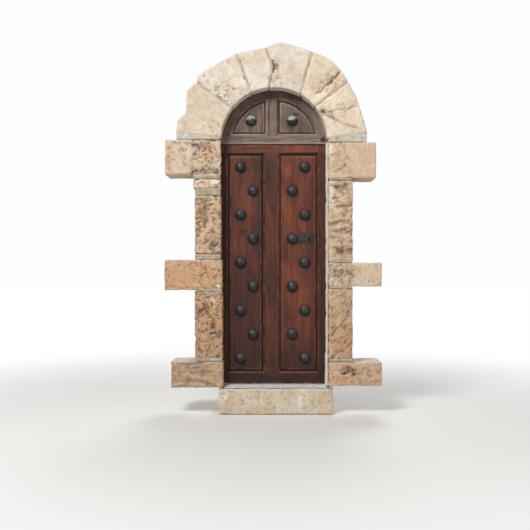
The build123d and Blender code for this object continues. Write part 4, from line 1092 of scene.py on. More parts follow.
def near_studs(points, reach):
    """Iron stain round the studs, and the streak that rain draws below each."""
    mask = plain(points)
    for x, z in LEAF_STUDS + TYMPANUM_STUDS:
        side = points[:, 0] - x
        rise = points[:, 2] - z
        ring = falling(np.hypot(side, rise), STUD_RADIUS, STUD_RADIUS + reach)
        below = falling(rise, -STUD_RADIUS, 0) * ramp(rise, -0.19, -0.05)
        streak = within(side, 0, STUD_RADIUS * 0.6) * below
        mask = np.maximum(mask, np.maximum(ring, 0.55 * streak))
        shank = falling(np.hypot(side, rise * 0.6), 0.008, 0.016)
        mask = np.where(points[:, 1] > LEAF_FRONT + MOULDING_DEPTH, np.minimum(mask, shank), mask)
    return mask


def arris_radius(points, seed):
    return 0.0022 + 0.0016 * np.clip(rubble(points, 0.05, seed), -0.8, 1)


def arris_wear(points, out, seed):
    """High on a rounded arris, in patches, and 0 on the flat."""
    rounded = ramp(1 - np.abs(out).max(axis=1), 0.02, 0.25)
    return rounded * (0.35 + 0.65 * patchy(points, 0.06, seed + 6, -0.3, 0.4))


def finish_timber(piece, node, body, slot, seed, place, wear_and_highlight, grime_and_shade, stain_and_shade, share=None):
    """Write what a timber's finish reads, and hang the timber in its place."""
    write_place(piece, place)
    write_marks(piece, "timber_marks", wear_and_highlight, grime_and_shade, stain_and_shade)
    write_timber_tone(piece, seed)
    if share is not None:
        thinned(piece, share)
    set_out(piece, body, slot, node)


def board(node, body, slot, along, seed, cracks=5, foot_wear=0.0, crisp_z=None, between=None, name=None):
    """A straight timber with rounded, knocked arrises, raised grain and drying cracks.

    It fills its node's box, or only what lies between two x, where the rest is a tenon. Arrises
    at crisp_z stay sharp, and foot_wear is eaten off its foot.
    """
    low, high = (np.array(corner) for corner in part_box(node))
    if between:
        low[0], high[0] = between
    steps = [FACE_STEP, DEPTH_STEP, FACE_STEP]
    steps[along] = GRAIN_STEP
    lines = [stations(low[axis], high[axis], steps[axis]) for axis in range(3)]
    points, faces = lattice_box(*lines)
    radius = arris_radius(points, seed)
    crisp = plain(points) if crisp_z is None else within(points[:, 2] - crisp_z, 0.005, 0.009)
    radius = radius * (1 - 0.75 * crisp)
    inner = np.clip(points, low + radius[:, None], high - radius[:, None])
    out = unit(points - inner)
    points = inner + out * radius[:, None]
    across = 0 if along == 2 else 2
    place = points[:, [across, 1, along]] + grain_shift(seed)
    crack = checks(place, cracks, seed + 2)
    eaten = grain_relief(place, seed) + crack * (np.abs(out[:, 1]) > 0.7)
    points = points - out * (eaten * (1 - crisp * np.abs(out[:, 2])))[:, None]
    if foot_wear:
        eaten = foot_wear * (0.5 + 0.5 * rubble(points * np.array([1, 1, 0]), 0.04, seed + 4, 4))
        points[:, 2] += eaten * falling(points[:, 2], low[2], low[2] + 0.012)
    piece = new_piece(name or "weathered_" + node, inset(points, low, high, 0.0), faces)
    wear_and_highlight = arris_wear(points, out, seed)
    # Pale along the transom's lower edge: wear and painted highlight
    if node == "transom_rail":
        wear_and_highlight = np.maximum(wear_and_highlight, 0.9 * falling(points[:, 2], low[2] + 0.004, low[2] + 0.012))
    grime_and_shade = crack_grime(crack) + 0.35 * patchy(points, 0.30, seed + 7, 0.0, 0.8) + scar_and_shade_mask(points)
    stain_and_shade = near_studs(points, 0.012)
    finish_timber(piece, node, body, slot, seed, place, wear_and_highlight, grime_and_shade, stain_and_shade)
    return piece


# Scars in the wood: (x, z, half width, half height, how dark)
SCARS = (
    (-0.060, 2.080, 0.008, 0.075, 0.95),
    (-0.040, 2.020, 0.007, 0.060, 0.7),
    (-0.064, 1.950, 0.006, 0.035, 0.6),
    (-0.019, 1.726, 0.014, 0.020, 0.8),
    (-0.019, 0.709, 0.024, 0.009, 0.9),
    (0.080, 1.627, 0.007, 0.060, 0.7),
    (-0.285, 1.527, 0.050, 0.020, 0.55),
    (-0.300, 1.430, 0.010, 0.050, 0.6),
    (0.345, 1.487, 0.040, 0.018, 0.8),
    (0.185, 2.520, 0.024, 0.012, 0.9),
    (0.172, 2.500, 0.010, 0.010, 0.8),
    (0.226, 2.572, 0.022, 0.005, 0.9),
    (0.250, 2.548, 0.012, 0.005, 0.8),
    (-0.300, 0.330, 0.120, 0.050, 0.5),
    (-0.430, 1.000, 0.030, 0.500, 0.35),
    (-0.010, 0.420, 0.024, 0.080, 0.45),
    (0.262, 1.466, 0.074, 0.056, 0.9),
    (-0.300, 1.905, 0.008, 0.070, 0.6),
    (-0.345, 1.290, 0.006, 0.090, 0.6),
    (-0.318, 1.270, 0.005, 0.060, 0.5),
    (-0.230, 0.860, 0.006, 0.110, 0.5),
    (0.246, 1.860, 0.005, 0.080, 0.5),
    (0.150, 1.180, 0.005, 0.100, 0.45),
    (0.400, 1.900, 0.008, 0.060, 0.6),
    (0.405, 1.720, 0.006, 0.080, 0.5),
)


def scar_and_shade_mask(points):
    """Scars, with painted shadow in the gap over the leaf and along the leaf's foot."""
    mask = plain(points)
    for x, z, half_x, half_z, dark in SCARS:
        away = oval_reach(points, (x, z), (half_x, half_z)) + 0.5 * rubble(points, 0.02, 77)
        mask = np.maximum(mask, dark * falling(away, 0.5, 1.3))
    # Painted shadow in the gap over the leaf and along its foot
    gaps = within(points[:, 2] - LEAF_TOP + 0.003, 0.003, 0.008) * (points[:, 2] <= LEAF_TOP + 0.0001)
    foot = falling(points[:, 2], LEFT_STILE[0].z + 0.005, LEFT_STILE[0].z + 0.020)
    mask = np.maximum(mask, np.maximum(0.9 * gaps, 0.9 * foot))
    return mask * (points[:, 1] < LEAF_FRONT + MOULDING_DEPTH)


def write_timber_tone(piece, seed):
    """How orange and how dark each part of the wood is, with painted shade under the arch, and one lick of
    old paint.
    """
    points = points_of(piece.data)
    x, z = points[:, 0], points[:, 2]
    long_grain = points * np.array([1, 1, 0.16])
    patch = 0.5 + 0.5 * np.clip(rubble(long_grain, 0.045, seed + 15), -1, 1)
    right_panel = within(x - 0.20, 0.06, 0.24) * ramp(z, 0.40, 0.90)
    left_panel = 0.55 * within(x + 0.26, 0.04, 0.16) * ramp(z, 0.9, 1.5)
    top = ramp(z, 2.185, 2.205)
    middle = 0.35 * within(x, 0.070, 0.078)
    warmth = np.maximum.reduce([right_panel, left_panel, middle, top]) * (0.25 + 0.9 * patch) + 0.12
    # Darker towards the bottom and towards the hinge side
    low_part = 0.75 * falling(z, 0.28, 0.75)
    hinge_side = 0.6 * ramp(-x, 0.34, 0.44)
    darkness = np.maximum(low_part, hinge_side) * (0.5 + 0.7 * (1 - patch))
    in_leaf = z < LEAF_TOP + 0.003
    in_transom = z < TRANSOM_TOP + 0.001
    bleached = np.maximum(0.55 * patch, 0.95 * in_transom)
    bleached = np.maximum(bleached, 0.8 * ramp(x, 0.15, 0.40))
    paint = within(x - 0.0265, 0.004, 0.009) * within(z - 2.378, 0.012, 0.036)
    paint = 0.55 * paint * patchy(points, 0.016, seed + 16, -0.5, 0.1)
    # Painted shade under the arch on the tympanum's upper part
    arch_shade = 0.3 * ramp(z, 2.58, 2.70) * (1 - patch)
    write_marks(piece, "timber_tone", np.where(in_leaf, warmth, bleached),
                np.where(in_leaf, darkness, arch_shade), paint)


def stud_centres(node):
    """Centre of each dome, from the points nearest its crown."""
    points = points_of(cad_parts[node].data)
    crowns = points[points[:, 1] < points[:, 1].min() + 0.0015][:, [0, 2]]
    centres = []
    for crown in crowns:
        if all(np.hypot(*(crown - centre)) > 0.05 for centre in centres):
            centres.append(crown)
    return [crowns[np.hypot(*(crowns - centre).T) < 0.05].mean(axis=0) for centre in centres]


LEAF_STUDS = stud_centres("leaf_studs")
TYMPANUM_STUDS = stud_centres("tympanum_studs")
STUD_RADIUS = min(x for x, z in LEAF_STUDS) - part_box("leaf_studs")[0].x
STUD_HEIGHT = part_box("leaf_panel_left")[0].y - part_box("leaf_studs")[0].y


def leaf_boards():
    for number, node in enumerate(("hinge_stile", "lock_stile", "muntin")):
        board(node, "leaf", "leaf_wood", along=2, seed=300 + number, cracks=9,
              foot_wear=0.0 if node == "muntin" else 0.006, crisp_z=LEAF_TOP)
    for number, node in enumerate(("top_rail", "bottom_rail")):
        board(node, "leaf", "leaf_wood", along=0, seed=310 + number, crisp_z=LEAF_TOP,
              foot_wear=0.006 if node == "bottom_rail" else 0.0, between=(LEFT_STILE[1].x, RIGHT_STILE[0].x))


def raised_depth(away):
    """How far behind its frame's face a raised panel lies, by the distance in from its opening."""
    rise = (away - MOULDING_WIDTH) / (PANEL_BORDER - MOULDING_WIDTH)
    return MOULDING_DEPTH + (FIELD_DEPTH - MOULDING_DEPTH) * np.clip(rise, 0, 1)


def panel_lines(left, right, step):
    """Net lines across a panel: one on each edge of the moulding and of the bevel."""
    edge = [-GROOVE_REACH, 0.0, 0.010, MOULDING_WIDTH]
    bevel = list(np.linspace(MOULDING_WIDTH, PANEL_BORDER, 7)[1:])
    near = edge + bevel + [PANEL_BORDER + 0.0015, PANEL_BORDER + 0.004]
    count = round((right - left - 2 * near[-1]) / step)
    middle = list(np.linspace(left + near[-1], right - near[-1], count + 1)[1:-1])
    return np.array([left + reach for reach in near] + middle + [right - reach for reach in reversed(near)])


def leaf_panel(node, left, right, seed):
    """A raised and fielded panel of the leaf."""
    low, high = MUNTIN[0].z, MUNTIN[1].z
    xs = panel_lines(left, right, 0.0042)
    zs = panel_lines(low, high, GRAIN_STEP)
    if left < KEYHOLE[0] < right:
        zs = np.sort(np.append(zs, KEYHOLE[1] + 0.004 + np.linspace(-0.030, 0.030, 21)))
    ys = np.array([0.0, MOULDING_DEPTH, PANEL_BACK_DEPTH])
    points, faces = lattice_box(xs, ys, zs)
    x, z = points[:, 0], points[:, 2]
    away = np.minimum.reduce([x - left, right - x, z - low, high - z])
    front = points[:, 1] == 0.0
    surface = raised_depth(away)
    place = points + grain_shift(seed)
    crack = checks(place, 14, seed)
    bevel_edge = np.exp(-((away - PANEL_BORDER) / 0.003) ** 2)
    worn = 0.0012 * bevel_edge * (0.6 + 0.6 * rubble(points, 0.05, seed + 1))
    cupped = 0.0012 * (1 + lumps(points * np.array([1, 1, 0.25]), 0.22, seed + 2))
    eaten = grain_relief(place, seed) + crack + worn + cupped * ramp(away, MOULDING_WIDTH, PANEL_BORDER)
    slot_away = oval_reach(points, KEYHOLE, KEYHOLE_HALF)
    eaten = eaten + KEYHOLE_DEPTH * falling(slot_away, 0.8, 1.0)
    points[:, 1] = np.where(front, LEAF_FRONT + surface + np.maximum(eaten, 0.0), LEAF_FRONT + points[:, 1])
    piece = new_piece("weathered_" + node, points, faces)
    # Arris wear on the field's edge, with painted highlight along its top run where the bevel looks up
    top_run = ramp(away + z - high, -0.004, -0.001)
    field_edge = np.exp(-((away - PANEL_BORDER) / 0.0045) ** 2)
    wear_and_highlight = 0.9 * field_edge * np.maximum(patchy(points, 0.08, seed + 5, -0.35, 0.35), 0.9 * top_run)
    # Painted shade in the corner behind the moulding and down the bevel, darkest under the top rail, and in
    # the keyhole
    corner = falling(away, MOULDING_WIDTH, MOULDING_WIDTH + 0.006)
    valley = (0.35 + 0.45 * top_run) * falling(away, PANEL_BORDER - 0.009, PANEL_BORDER - 0.003)
    keyhole_shade = falling(slot_away, 1.0, 1.3)
    grime_and_shade = np.maximum(corner, valley) + crack_grime(crack)
    grime_and_shade = grime_and_shade + 0.5 * patchy(points, 0.28, seed + 7, 0.05, 0.8) + scar_and_shade_mask(points) + keyhole_shade
    stain_and_shade = np.maximum(near_studs(points, 0.014), keyhole_shade)
    finish_timber(piece, node, "leaf", "leaf_wood", seed, place, wear_and_highlight, grime_and_shade, stain_and_shade)


def tympanum_panel(node, seed):
    """A raised panel in the shape of a quarter round, from the frame's own solid."""
    piece = netted("weathered_" + node, node, 0.0034)
    mesh = piece.data
    low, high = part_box(node)
    points = points_of(mesh)
    out = points_of(mesh, "normal")
    place = points + grain_shift(seed)
    crack = checks(place, 7, seed) * (out[:, 1] < -0.7)
    eaten = grain_relief(place, seed) + crack
    move_points(mesh, inset(points - out * eaten[:, None], low, high))
    from_middle = np.maximum(MIDDLE_LEFT - points[:, 0], points[:, 0] - MIDDLE_RIGHT)
    from_foot = points[:, 2] - TRANSOM_TOP
    from_round = RAIL_INNER - np.hypot(points[:, 0], points[:, 2] - ARCH_CENTRE_Z)
    away = np.minimum.reduce([from_middle, from_foot, from_round])
    foot_run = from_foot < away + 0.001
    wear_and_highlight = 0.85 * np.exp(-((away - PANEL_BORDER + 0.002) / 0.0045) ** 2) * (1 - 0.6 * foot_run)
    # Painted shade down the bevel, heaviest along the foot
    valley = falling(away, 0.027, 0.032) * (0.25 + 0.6 * foot_run)
    grime_and_shade = crack_grime(crack) + 0.4 * patchy(points, 0.16, seed + 7, -0.1, 0.7)
    grime_and_shade = (grime_and_shade + scar_and_shade_mask(points) + valley) * (out[:, 1] < 0.5)
    stain_and_shade = near_studs(points, 0.010)
    finish_timber(piece, node, "surround", "tympanum_wood", seed, place, wear_and_highlight, grime_and_shade, stain_and_shade, share=0.6)


def arched_rail(node, side, seed):
    """One curved rail, cut on a polar net between the transom and the middle of the muntin."""
    low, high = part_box(node)
    middle = (MIDDLE_LEFT + MIDDLE_RIGHT) / 2
    radii = stations(RAIL_INNER, RAIL_OUTER, 0.0045)
    shares = np.linspace(0, 1, 130)
    points, faces = lattice_box(radii, stations(low.y, high.y, DEPTH_STEP), shares)
    radius, share = points[:, 0], points[:, 2]
    first = np.arcsin((TRANSOM_TOP - ARCH_CENTRE_Z) / radius)
    last = np.arccos(side * middle / radius)
    turn = first + (last - first) * share
    flat_low = np.array([RAIL_INNER, low.y, -9.0])
    flat_high = np.array([RAIL_OUTER, high.y, 9.0])
    flat = np.stack([radius, points[:, 1], turn], axis=1)
    round_over = arris_radius(flat, seed)
    inner = np.clip(flat, flat_low + round_over[:, None], flat_high - round_over[:, None])
    inner[:, 2] = flat[:, 2]
    out = unit(flat - inner)
    place = np.stack([radius, points[:, 1], turn * radius], axis=1) + grain_shift(seed)
    crack = checks(place, 6, seed + 2) * (out[:, 1] < -0.7)
    flat = inner + out * (round_over - grain_relief(place, seed) - crack)[:, None]
    curved = np.stack([
        side * flat[:, 0] * np.cos(flat[:, 2]), flat[:, 1], ARCH_CENTRE_Z + flat[:, 0] * np.sin(flat[:, 2]),
    ], axis=1)
    if side < 0:
        faces = faces[:, ::-1]
    piece = new_piece("weathered_" + node, curved, faces)
    grime_and_shade = crack_grime(crack) + 0.7 * patchy(curved, 0.14, seed + 7, -0.2, 0.6) + scar_and_shade_mask(curved)
    # Darker towards the top: painted shade under the arch
    grime_and_shade = 0.42 * grime_and_shade * falling(curved[:, 0], 0.30, 0.46) + 0.3 * ramp(curved[:, 2], 2.52, 2.72)
    finish_timber(piece, node, "surround", "tympanum_wood", seed, place,
                  arris_wear(curved, out, seed), grime_and_shade, plain(curved))


def frame_boards():
    between = (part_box("hinge_post")[1].x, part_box("lock_post")[0].x)
    board("transom_rail", "surround", "tympanum_wood", along=0, seed=320, cracks=6,
          crisp_z=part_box("transom_rail")[0].z, between=between, name="weathered_transom")
    piece = board("tympanum_muntin", "surround", "tympanum_wood", along=2, seed=321, cracks=3)
    points = points_of(piece.data)
    arc = ARCH_CENTRE_Z + np.sqrt(RAIL_INNER ** 2 - points[:, 0] ** 2)
    points[:, 2] = np.minimum(points[:, 2], arc)
    move_points(piece.data, points)
    for number, node in enumerate(("hinge_post", "lock_post")):
        board(node, "surround", "frame_wood", along=2, seed=330 + number, cracks=6)


def moulding_section():
    """(Reach in from the opening, depth behind the face): a fillet, a quirk, the ovolo, a small step."""
    section = [(0.0, 0.0), (0.0055, 0.0), (0.0060, 0.0022), (0.0075, 0.0022)]
    start_reach, start_depth, round_size = 0.0075, 0.0010, 0.0105
    for step in range(7):
        turn = radians(15 * step)
        section.append((start_reach + round_size * sin(turn), start_depth + round_size * (1 - cos(turn))))
    section += [(0.0180, 0.0138), (0.0200, 0.0138), (0.0200, MOULDING_DEPTH), (0.0, MOULDING_DEPTH)]
    return section


# How dark the painted shade in the deep corners of a moulding is
CORNER_SHADE = {"leaf_wood": 1.0, "tympanum_wood": 0.55}


def swept_moulding(path, front, stops, seed):
    """A length of moulding: path(reach, share) gives x and z for each line of the section."""
    section = moulding_section()
    net = np.array([[(*path(reach, share), front + depth) for reach, depth in section]
                    for share in np.linspace(0, 1, stops)])
    points = net.reshape(-1, 3)[:, [0, 2, 1]]
    knocked = ramp(rubble(points, 0.05, seed, 4), 0.25, 0.9)
    points[:, 1] += 0.0018 * knocked * (points[:, 1] < front + 0.012)
    width = len(section)
    faces = []
    for stop in range(stops - 1):
        for line in range(width):
            following = (line + 1) % width
            faces.append([stop * width + line, stop * width + following,
                          (stop + 1) * width + following, (stop + 1) * width + line])
    faces.append(list(range(width))[::-1])
    faces.append([(stops - 1) * width + line for line in range(width)])
    return points, faces


def straight_path(outer_a, inner_a, outer_b, inner_b):
    """From mitre a to mitre b, each given by its outer and its inner corner."""
    outer_a, inner_a, outer_b, inner_b = (np.array(corner) for corner in (outer_a, inner_a, outer_b, inner_b))

    def path(reach, share):
        start = outer_a + (inner_a - outer_a) * reach / MOULDING_WIDTH
        end = outer_b + (inner_b - outer_b) * reach / MOULDING_WIDTH
        return tuple(start + (end - start) * share)
    return path


def finish_moulding(node, parts, body, slot, front, seed):
    """The mitred lengths of one frame as a piece: rubbed edges, painted shade in its corners, the tympanum's
    pale.
    """
    points, faces = joined(parts)
    piece = new_piece("worn_" + node, points, faces)
    face_outwards(piece)
    x, z = points[:, 0], points[:, 2]
    depth = points[:, 1] - front
    out = points_of(piece.data, "normal")
    wear_and_highlight = 0.7 * within(depth - 0.0015, 0.0005, 0.003) * patchy(points, 0.07, seed + 5, -0.25, 0.4)
    # Painted shade in the moulding's deep corners
    grime_and_shade = CORNER_SHADE[slot] * ramp(depth, 0.010, 0.014) + 0.4 * patchy(points, 0.2, seed + 6, 0, 0.7)
    # Painted shade on the faces that look down
    grime_and_shade = grime_and_shade + 0.8 * ramp(-out[:, 2], 0.3, 0.8)
    if slot == "tympanum_wood":
        # Pale along the foot run and beside the muntin's left side: wear, with painted highlight where the
        # run looks up
        lower_run = falling(z, TRANSOM_TOP + 0.0190, TRANSOM_TOP + 0.0205)
        beside_muntin = ramp(x, MIDDLE_LEFT - 0.016, MIDDLE_LEFT - 0.012) * (x < MIDDLE_LEFT + 0.001)
        pale = np.maximum(lower_run, 0.8 * beside_muntin) * (depth < 0.0145)
        wear_and_highlight = np.maximum(wear_and_highlight, pale * (0.8 + 0.3 * rubble(points, 0.04, seed + 8)))
        painted_run = falling(x, MIDDLE_RIGHT + 0.0190, MIDDLE_RIGHT + 0.0215) * (x > MIDDLE_RIGHT)
        grime_and_shade = grime_and_shade + 0.6 * painted_run * (z > TRANSOM_TOP + 0.02)
    else:
        # Pale where the leaf's moulding looks up: dust and painted highlight
        wear_and_highlight = np.maximum(wear_and_highlight, 0.5 * ramp(out[:, 2], 0.3, 0.8))
        # Painted shadow of the top rail along the moulding's top run
        top_run = ramp(z, z.max() - 0.0197, z.max() - 0.0190)
        grime_and_shade = grime_and_shade + 0.9 * top_run * (depth > 0.001)
    finish_timber(piece, node, body, slot, seed, points + grain_shift(seed), wear_and_highlight, grime_and_shade, plain(points))


def leaf_moulding(node, left, right, seed):
    """Four mitred lengths round a panel of the leaf."""
    low, high = MUNTIN[0].z, MUNTIN[1].z

    def corners(reach):
        return [(left + reach, low + reach), (right - reach, low + reach),
                (right - reach, high - reach), (left + reach, high - reach)]

    outer, inner = corners(0), corners(MOULDING_WIDTH)
    parts = []
    for corner in range(4):
        following = (corner + 1) % 4
        path = straight_path(outer[corner], inner[corner], outer[following], inner[following])
        parts.append(swept_moulding(path, LEAF_FRONT, (40, 150)[corner % 2], seed + corner))
    finish_moulding(node, parts, "leaf", "leaf_wood", LEAF_FRONT, seed)


def tympanum_moulding(node, side, muntin_edge, seed):
    """Three lengths round a quarter-round panel: along its foot, beside the muntin, round the arch."""
    def foot(reach):
        base = TRANSOM_TOP + reach
        return (side * sqrt((RAIL_INNER - reach) ** 2 - (base - ARCH_CENTRE_Z) ** 2), base)

    def heel(reach):
        return (muntin_edge + side * reach, TRANSOM_TOP + reach)

    def top(reach):
        edge = muntin_edge + side * reach
        return (edge, ARCH_CENTRE_Z + sqrt((RAIL_INNER - reach) ** 2 - edge ** 2))

    def round_path(reach, share):
        radius = RAIL_INNER - reach
        start = asin((top(reach)[1] - ARCH_CENTRE_Z) / radius)
        end = asin((foot(reach)[1] - ARCH_CENTRE_Z) / radius)
        turn = start + (end - start) * share
        return (side * radius * cos(turn), ARCH_CENTRE_Z + radius * sin(turn))

    width = MOULDING_WIDTH
    foot_path = straight_path(foot(0), foot(width), heel(0), heel(width))
    muntin_path = straight_path(heel(0), heel(width), top(0), top(width))
    runs = ((foot_path, 40), (muntin_path, 40), (round_path, 70))
    lengths = [swept_moulding(path, FRAME_FRONT, stops, seed + number)
               for number, (path, stops) in enumerate(runs)]
    finish_moulding(node, lengths, "surround", "tympanum_wood", FRAME_FRONT, seed)


def all_timber():
    leaf_boards()
    leaf_panel("leaf_panel_left", LEFT_STILE[1].x, MUNTIN[0].x, 341)
    leaf_panel("leaf_panel_right", MUNTIN[1].x, RIGHT_STILE[0].x, 342)
    leaf_moulding("leaf_moulding_left", LEFT_STILE[1].x, MUNTIN[0].x, 351)
    leaf_moulding("leaf_moulding_right", MUNTIN[1].x, RIGHT_STILE[0].x, 361)
    frame_boards()
    arched_rail("arched_rail_left", -1, 371)
    arched_rail("arched_rail_right", 1, 372)
    tympanum_panel("tympanum_panel_left", 381)
    tympanum_panel("tympanum_panel_right", 382)
    tympanum_moulding("tympanum_moulding_left", -1, MIDDLE_LEFT, 391)
    tympanum_moulding("tympanum_moulding_right", 1, MIDDLE_RIGHT, 396)
    board("lock_block", "leaf", "frame_wood", along=2, seed=399, cracks=3)


# Ironwork

def forged_dome(centre, base, seed):
    """A dome beaten over a swage: a turned shape with hammer flats and an uneven rim."""
    x, z = centre
    radius, height = STUD_RADIUS, STUD_HEIGHT
    rings, around = 15, 40
    dome = (radius ** 2 + height ** 2) / (2 * height)
    widest = asin(radius / dome)
    points = [(x, base - height, z)]
    for ring in range(1, rings + 1):
        lean = widest * ring / rings
        reach = dome * sin(lean)
        rise = height - dome * (1 - cos(lean))
        for step in range(around):
            turn = 2 * pi * step / around
            points.append((x + reach * cos(turn), base - rise, z + reach * sin(turn)))
    points = np.array(points)
    centre_point = np.array([x, base + dome - height, z])
    out = unit(points - centre_point)
    flats = 0.0010 * (1 + lumps(points, 0.020, seed)) + 0.0004 * (1 + lumps(points, 0.007, seed + 1))
    reach = np.hypot(points[:, 0] - x, points[:, 2] - z) / radius
    flats = flats * (1 - 0.8 * ramp(reach, 0.8, 1.0))
    points = points - out * flats[:, None]
    rim = points[-around:].copy()
    rim[:, 1] = base + 0.001
    points = np.concatenate([points, rim])
    points[:, 1] = np.minimum(points[:, 1], base + 0.001)
    faces = [[0, 1 + step, 1 + (step + 1) % around] for step in range(around)]
    for ring in range(rings):
        start = 1 + ring * around
        for step in range(around):
            following = (step + 1) % around
            faces.append([start + step, start + around + step, start + around + following, start + following])
    faces.append([1 + rings * around + step for step in range(around)])
    return points, faces


def clenched_end(centre, back, seed):
    """The end of a stud's shank, bent over and driven flat against the back of the panel."""
    x, z = centre
    half, thick, length = 0.005, 0.004, 0.022
    points, faces = lattice_box(
        np.linspace(-half, half, 4), np.linspace(0, thick, 3), np.linspace(-half, length, 12))
    share = ramp(points[:, 2], 0.006, length)
    points[:, 0] *= 1 - 0.55 * share
    points[:, 1] *= 1 - 0.45 * share
    points = points + 0.0004 * lumps(points, 0.006, seed)[:, None]
    points[:, 1] = np.clip(points[:, 1], -0.0005, thick)
    points = points + np.array([x, back, z])
    return points, faces.tolist()


def studs(kind, body, centres, seed):
    """All studs of the leaf's or the tympanum's panels as one piece."""
    base, back = (corner.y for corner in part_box(kind + "_panel_left"))
    parts = []
    for number, centre in enumerate(centres):
        parts.append(forged_dome(centre, base, seed + number * 3))
        parts.append(clenched_end(centre, back, seed + number))
    points, faces = joined(parts)
    piece = new_piece("forged_" + kind + "_studs", points, faces)
    chalk = plain(points)
    if body == "surround":
        out = points_of(piece.data, "normal")
        chalk = 0.9 * ramp(out[:, 2] + 0.25 * rubble(points, 0.03, seed), 0.0, 0.35) * (points[:, 1] < base)
    write_marks(piece, "iron_marks", chalk, 0, 0)
    set_out(piece, body, "wrought_iron", kind + "_studs")


def forged(node, name, body, slot, cell, beaten, seed, share=0.5):
    """A worn copy of an iron solid: softened arrises and hammer marks, only ever inwards."""
    piece = netted(name, node, cell)
    mesh = piece.data
    low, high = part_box(node)
    points = rubbed(points_of(mesh), edges_of(mesh), 3, np.full(len(mesh.vertices), 0.5))
    move_points(mesh, points)
    out = points_of(mesh, "normal")
    dents = beaten * (1 + np.clip(rubble(points, 0.018, seed), -1, 1))
    move_points(mesh, inset(points - out * dents[:, None], low, high, 0.0))
    thinned(piece, share)
    set_out(piece, body, slot, node)


# Worn iron: node, piece, body, slot, net, how deep it is beaten, seed, and the share of faces kept
FORGED = (
    ("escutcheon", "forged_escutcheon", "leaf", "wrought_iron", 0.0012, 0.0004, 471),
    ("stile_nail", "forged_stile_nail", "leaf", "wrought_iron", 0.0010, 0.0003, 472),
    ("transom_bolt", "rusty_transom_bolt", "surround", "rusted_iron", 0.0016, 0.0006, 473),
    ("upper_strap_hinge", "forged_upper_strap", "leaf", "wrought_iron", 0.0014, 0.0006, 474),
    ("upper_pintle", "forged_upper_pintle", "surround", "wrought_iron", 0.0014, 0.0006, 484),
    ("lower_strap_hinge", "forged_lower_strap", "leaf", "wrought_iron", 0.0014, 0.0006, 475),
    ("lower_pintle", "forged_lower_pintle", "surround", "wrought_iron", 0.0014, 0.0006, 485),
    ("strap_nails", "rose_head_nails", "leaf", "wrought_iron", 0.0008, 0.0003, 491),
    ("lock_case", "riveted_lock_case", "leaf", "wrought_iron", 0.0014, 0.0002, 492, 0.12),
    ("lock_keeper", "forged_lock_keeper", "surround", "wrought_iron", 0.0016, 0.0002, 493),
    ("lock_bolt", "filed_lock_bolt", "lock_bolt", "bright_iron", 0.0016, 0.0001, 494),
)


def all_iron():
    studs("leaf", "leaf", LEAF_STUDS, 401)
    studs("tympanum", "surround", TYMPANUM_STUDS, 461)
    for row in FORGED:
        forged(*row)
    for node in ("bolt_guides", "tumbler_spring"):
        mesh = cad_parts[node].data
        mesh.materials.clear()
        mesh.materials.append(FINISHES["bright_iron"])


# Floor, light and camera

# How bright the white surroundings are as a light, and as seen in a glossy surface
SKY_LIGHT = 0.33
SKY_IN_GLOSS = 0.75
# How far the floor reaches, and between which distances it fades to white
FLOOR_REACH = 40.0
FLOOR_FADE = (1.6, 5.0)


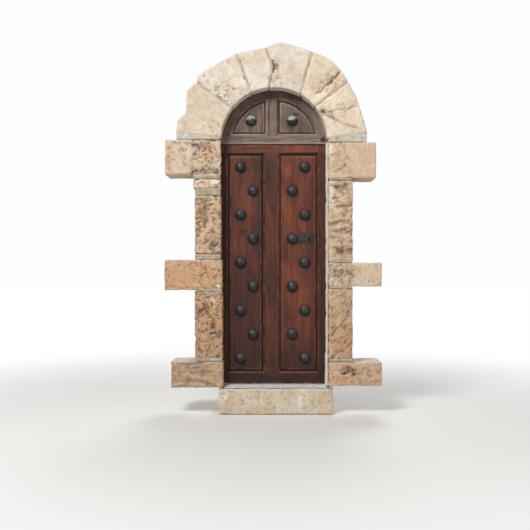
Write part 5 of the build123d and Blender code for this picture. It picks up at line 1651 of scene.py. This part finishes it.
def floor():
    """A pale floor that fades to white well away from the door."""
    mesh = bpy.data.meshes.new("studio_floor")
    reach = FLOOR_REACH
    corners = [(-reach, -reach, 0), (reach, -reach, 0), (reach, reach, 0), (-reach, reach, 0)]
    mesh.from_pydata(corners, [], [(0, 1, 2, 3)])
    ground = bpy.data.objects.new("studio_floor", mesh)
    bpy.context.scene.collection.objects.link(ground)
    finish, tree, shader = new_finish("studio_floor_paint")
    place = object_place(tree)
    away = add(tree, "ShaderNodeVectorMath", operation="LENGTH")
    feed(tree, away.inputs[0], place)
    far = remap(tree, away.outputs["Value"], *FLOOR_FADE)
    feed(tree, shader.inputs["Base Color"], tone(222, 221, 218))
    shader.inputs["Roughness"].default_value = 0.8
    white = add(tree, "ShaderNodeEmission")
    white.inputs["Strength"].default_value = 1.0
    seen = add(tree, "ShaderNodeLightPath").outputs["Is Camera Ray"]
    blend = add(tree, "ShaderNodeMixShader")
    feed(tree, blend.inputs[0], sums(tree, "MULTIPLY", far, seen))
    feed(tree, blend.inputs[1], shader.outputs[0])
    feed(tree, blend.inputs[2], white.outputs[0])
    feed(tree, tree.nodes["Material Output"].inputs["Surface"], blend.outputs[0])
    mesh.materials.append(finish)


def studio_world():
    """White behind the door for the eye and for gloss, a soft even light for everything else."""
    world = bpy.data.worlds.new("studio")
    bpy.context.scene.world = world
    world.use_nodes = True
    tree = world.node_tree
    ground = tree.nodes["Background"]
    ground.inputs["Color"].default_value = (0.98, 0.99, 1.0, 1.0)
    path = add(tree, "ShaderNodeLightPath")
    seen = sums(tree, "MAXIMUM", path.outputs["Is Camera Ray"], path.outputs["Is Transmission Ray"])
    glossy = sums(tree, "MULTIPLY", path.outputs["Is Glossy Ray"], SKY_IN_GLOSS)
    bright = sums(tree, "MAXIMUM", seen, glossy)
    feed(tree, ground.inputs["Strength"], sums(tree, "MAXIMUM", bright, SKY_LIGHT))


def lamp(name, place, target, size, power):
    """A square soft light of a size in metres and a power in watts, turned to its target."""
    light = bpy.data.lights.new(name, "AREA")
    light.shape = "SQUARE"
    light.size = size
    light.energy = power
    made = bpy.data.objects.new(name, light)
    made.location = place
    made.rotation_euler = (Vector(target) - Vector(place)).to_track_quat("-Z", "Y").to_euler()
    bpy.context.scene.collection.objects.link(made)


def studio_lights():
    lamp("key", (-3.0, -4.8, 6.2), (0.0, 0.0, 1.5), 2.2, 450)
    lamp("fill", (4.6, -4.6, 2.6), (0.0, 0.0, 1.4), 3.5, 60)
    lamp("back", (1.5, 5.5, 4.5), (0.0, 0.0, 1.5), 3.0, 220)


def camera():
    lens = bpy.data.cameras.new("front_view")
    lens.sensor_width = SENSOR_WIDTH
    lens.lens = SENSOR_WIDTH * CAMERA_DISTANCE / VIEW_WIDTH
    made = bpy.data.objects.new("front_view", lens)
    made.location = (CAMERA_X, STONE_FACE - CAMERA_DISTANCE, CAMERA_Z)
    made.rotation_euler = (radians(90), 0, 0)
    bpy.context.scene.collection.objects.link(made)
    bpy.context.scene.camera = made


all_stones()
all_mortar()
reveal_plaster()
all_timber()
all_iron()
floor()
studio_world()
studio_lights()
camera()
bpy.context.scene.view_settings.view_transform = "Standard"
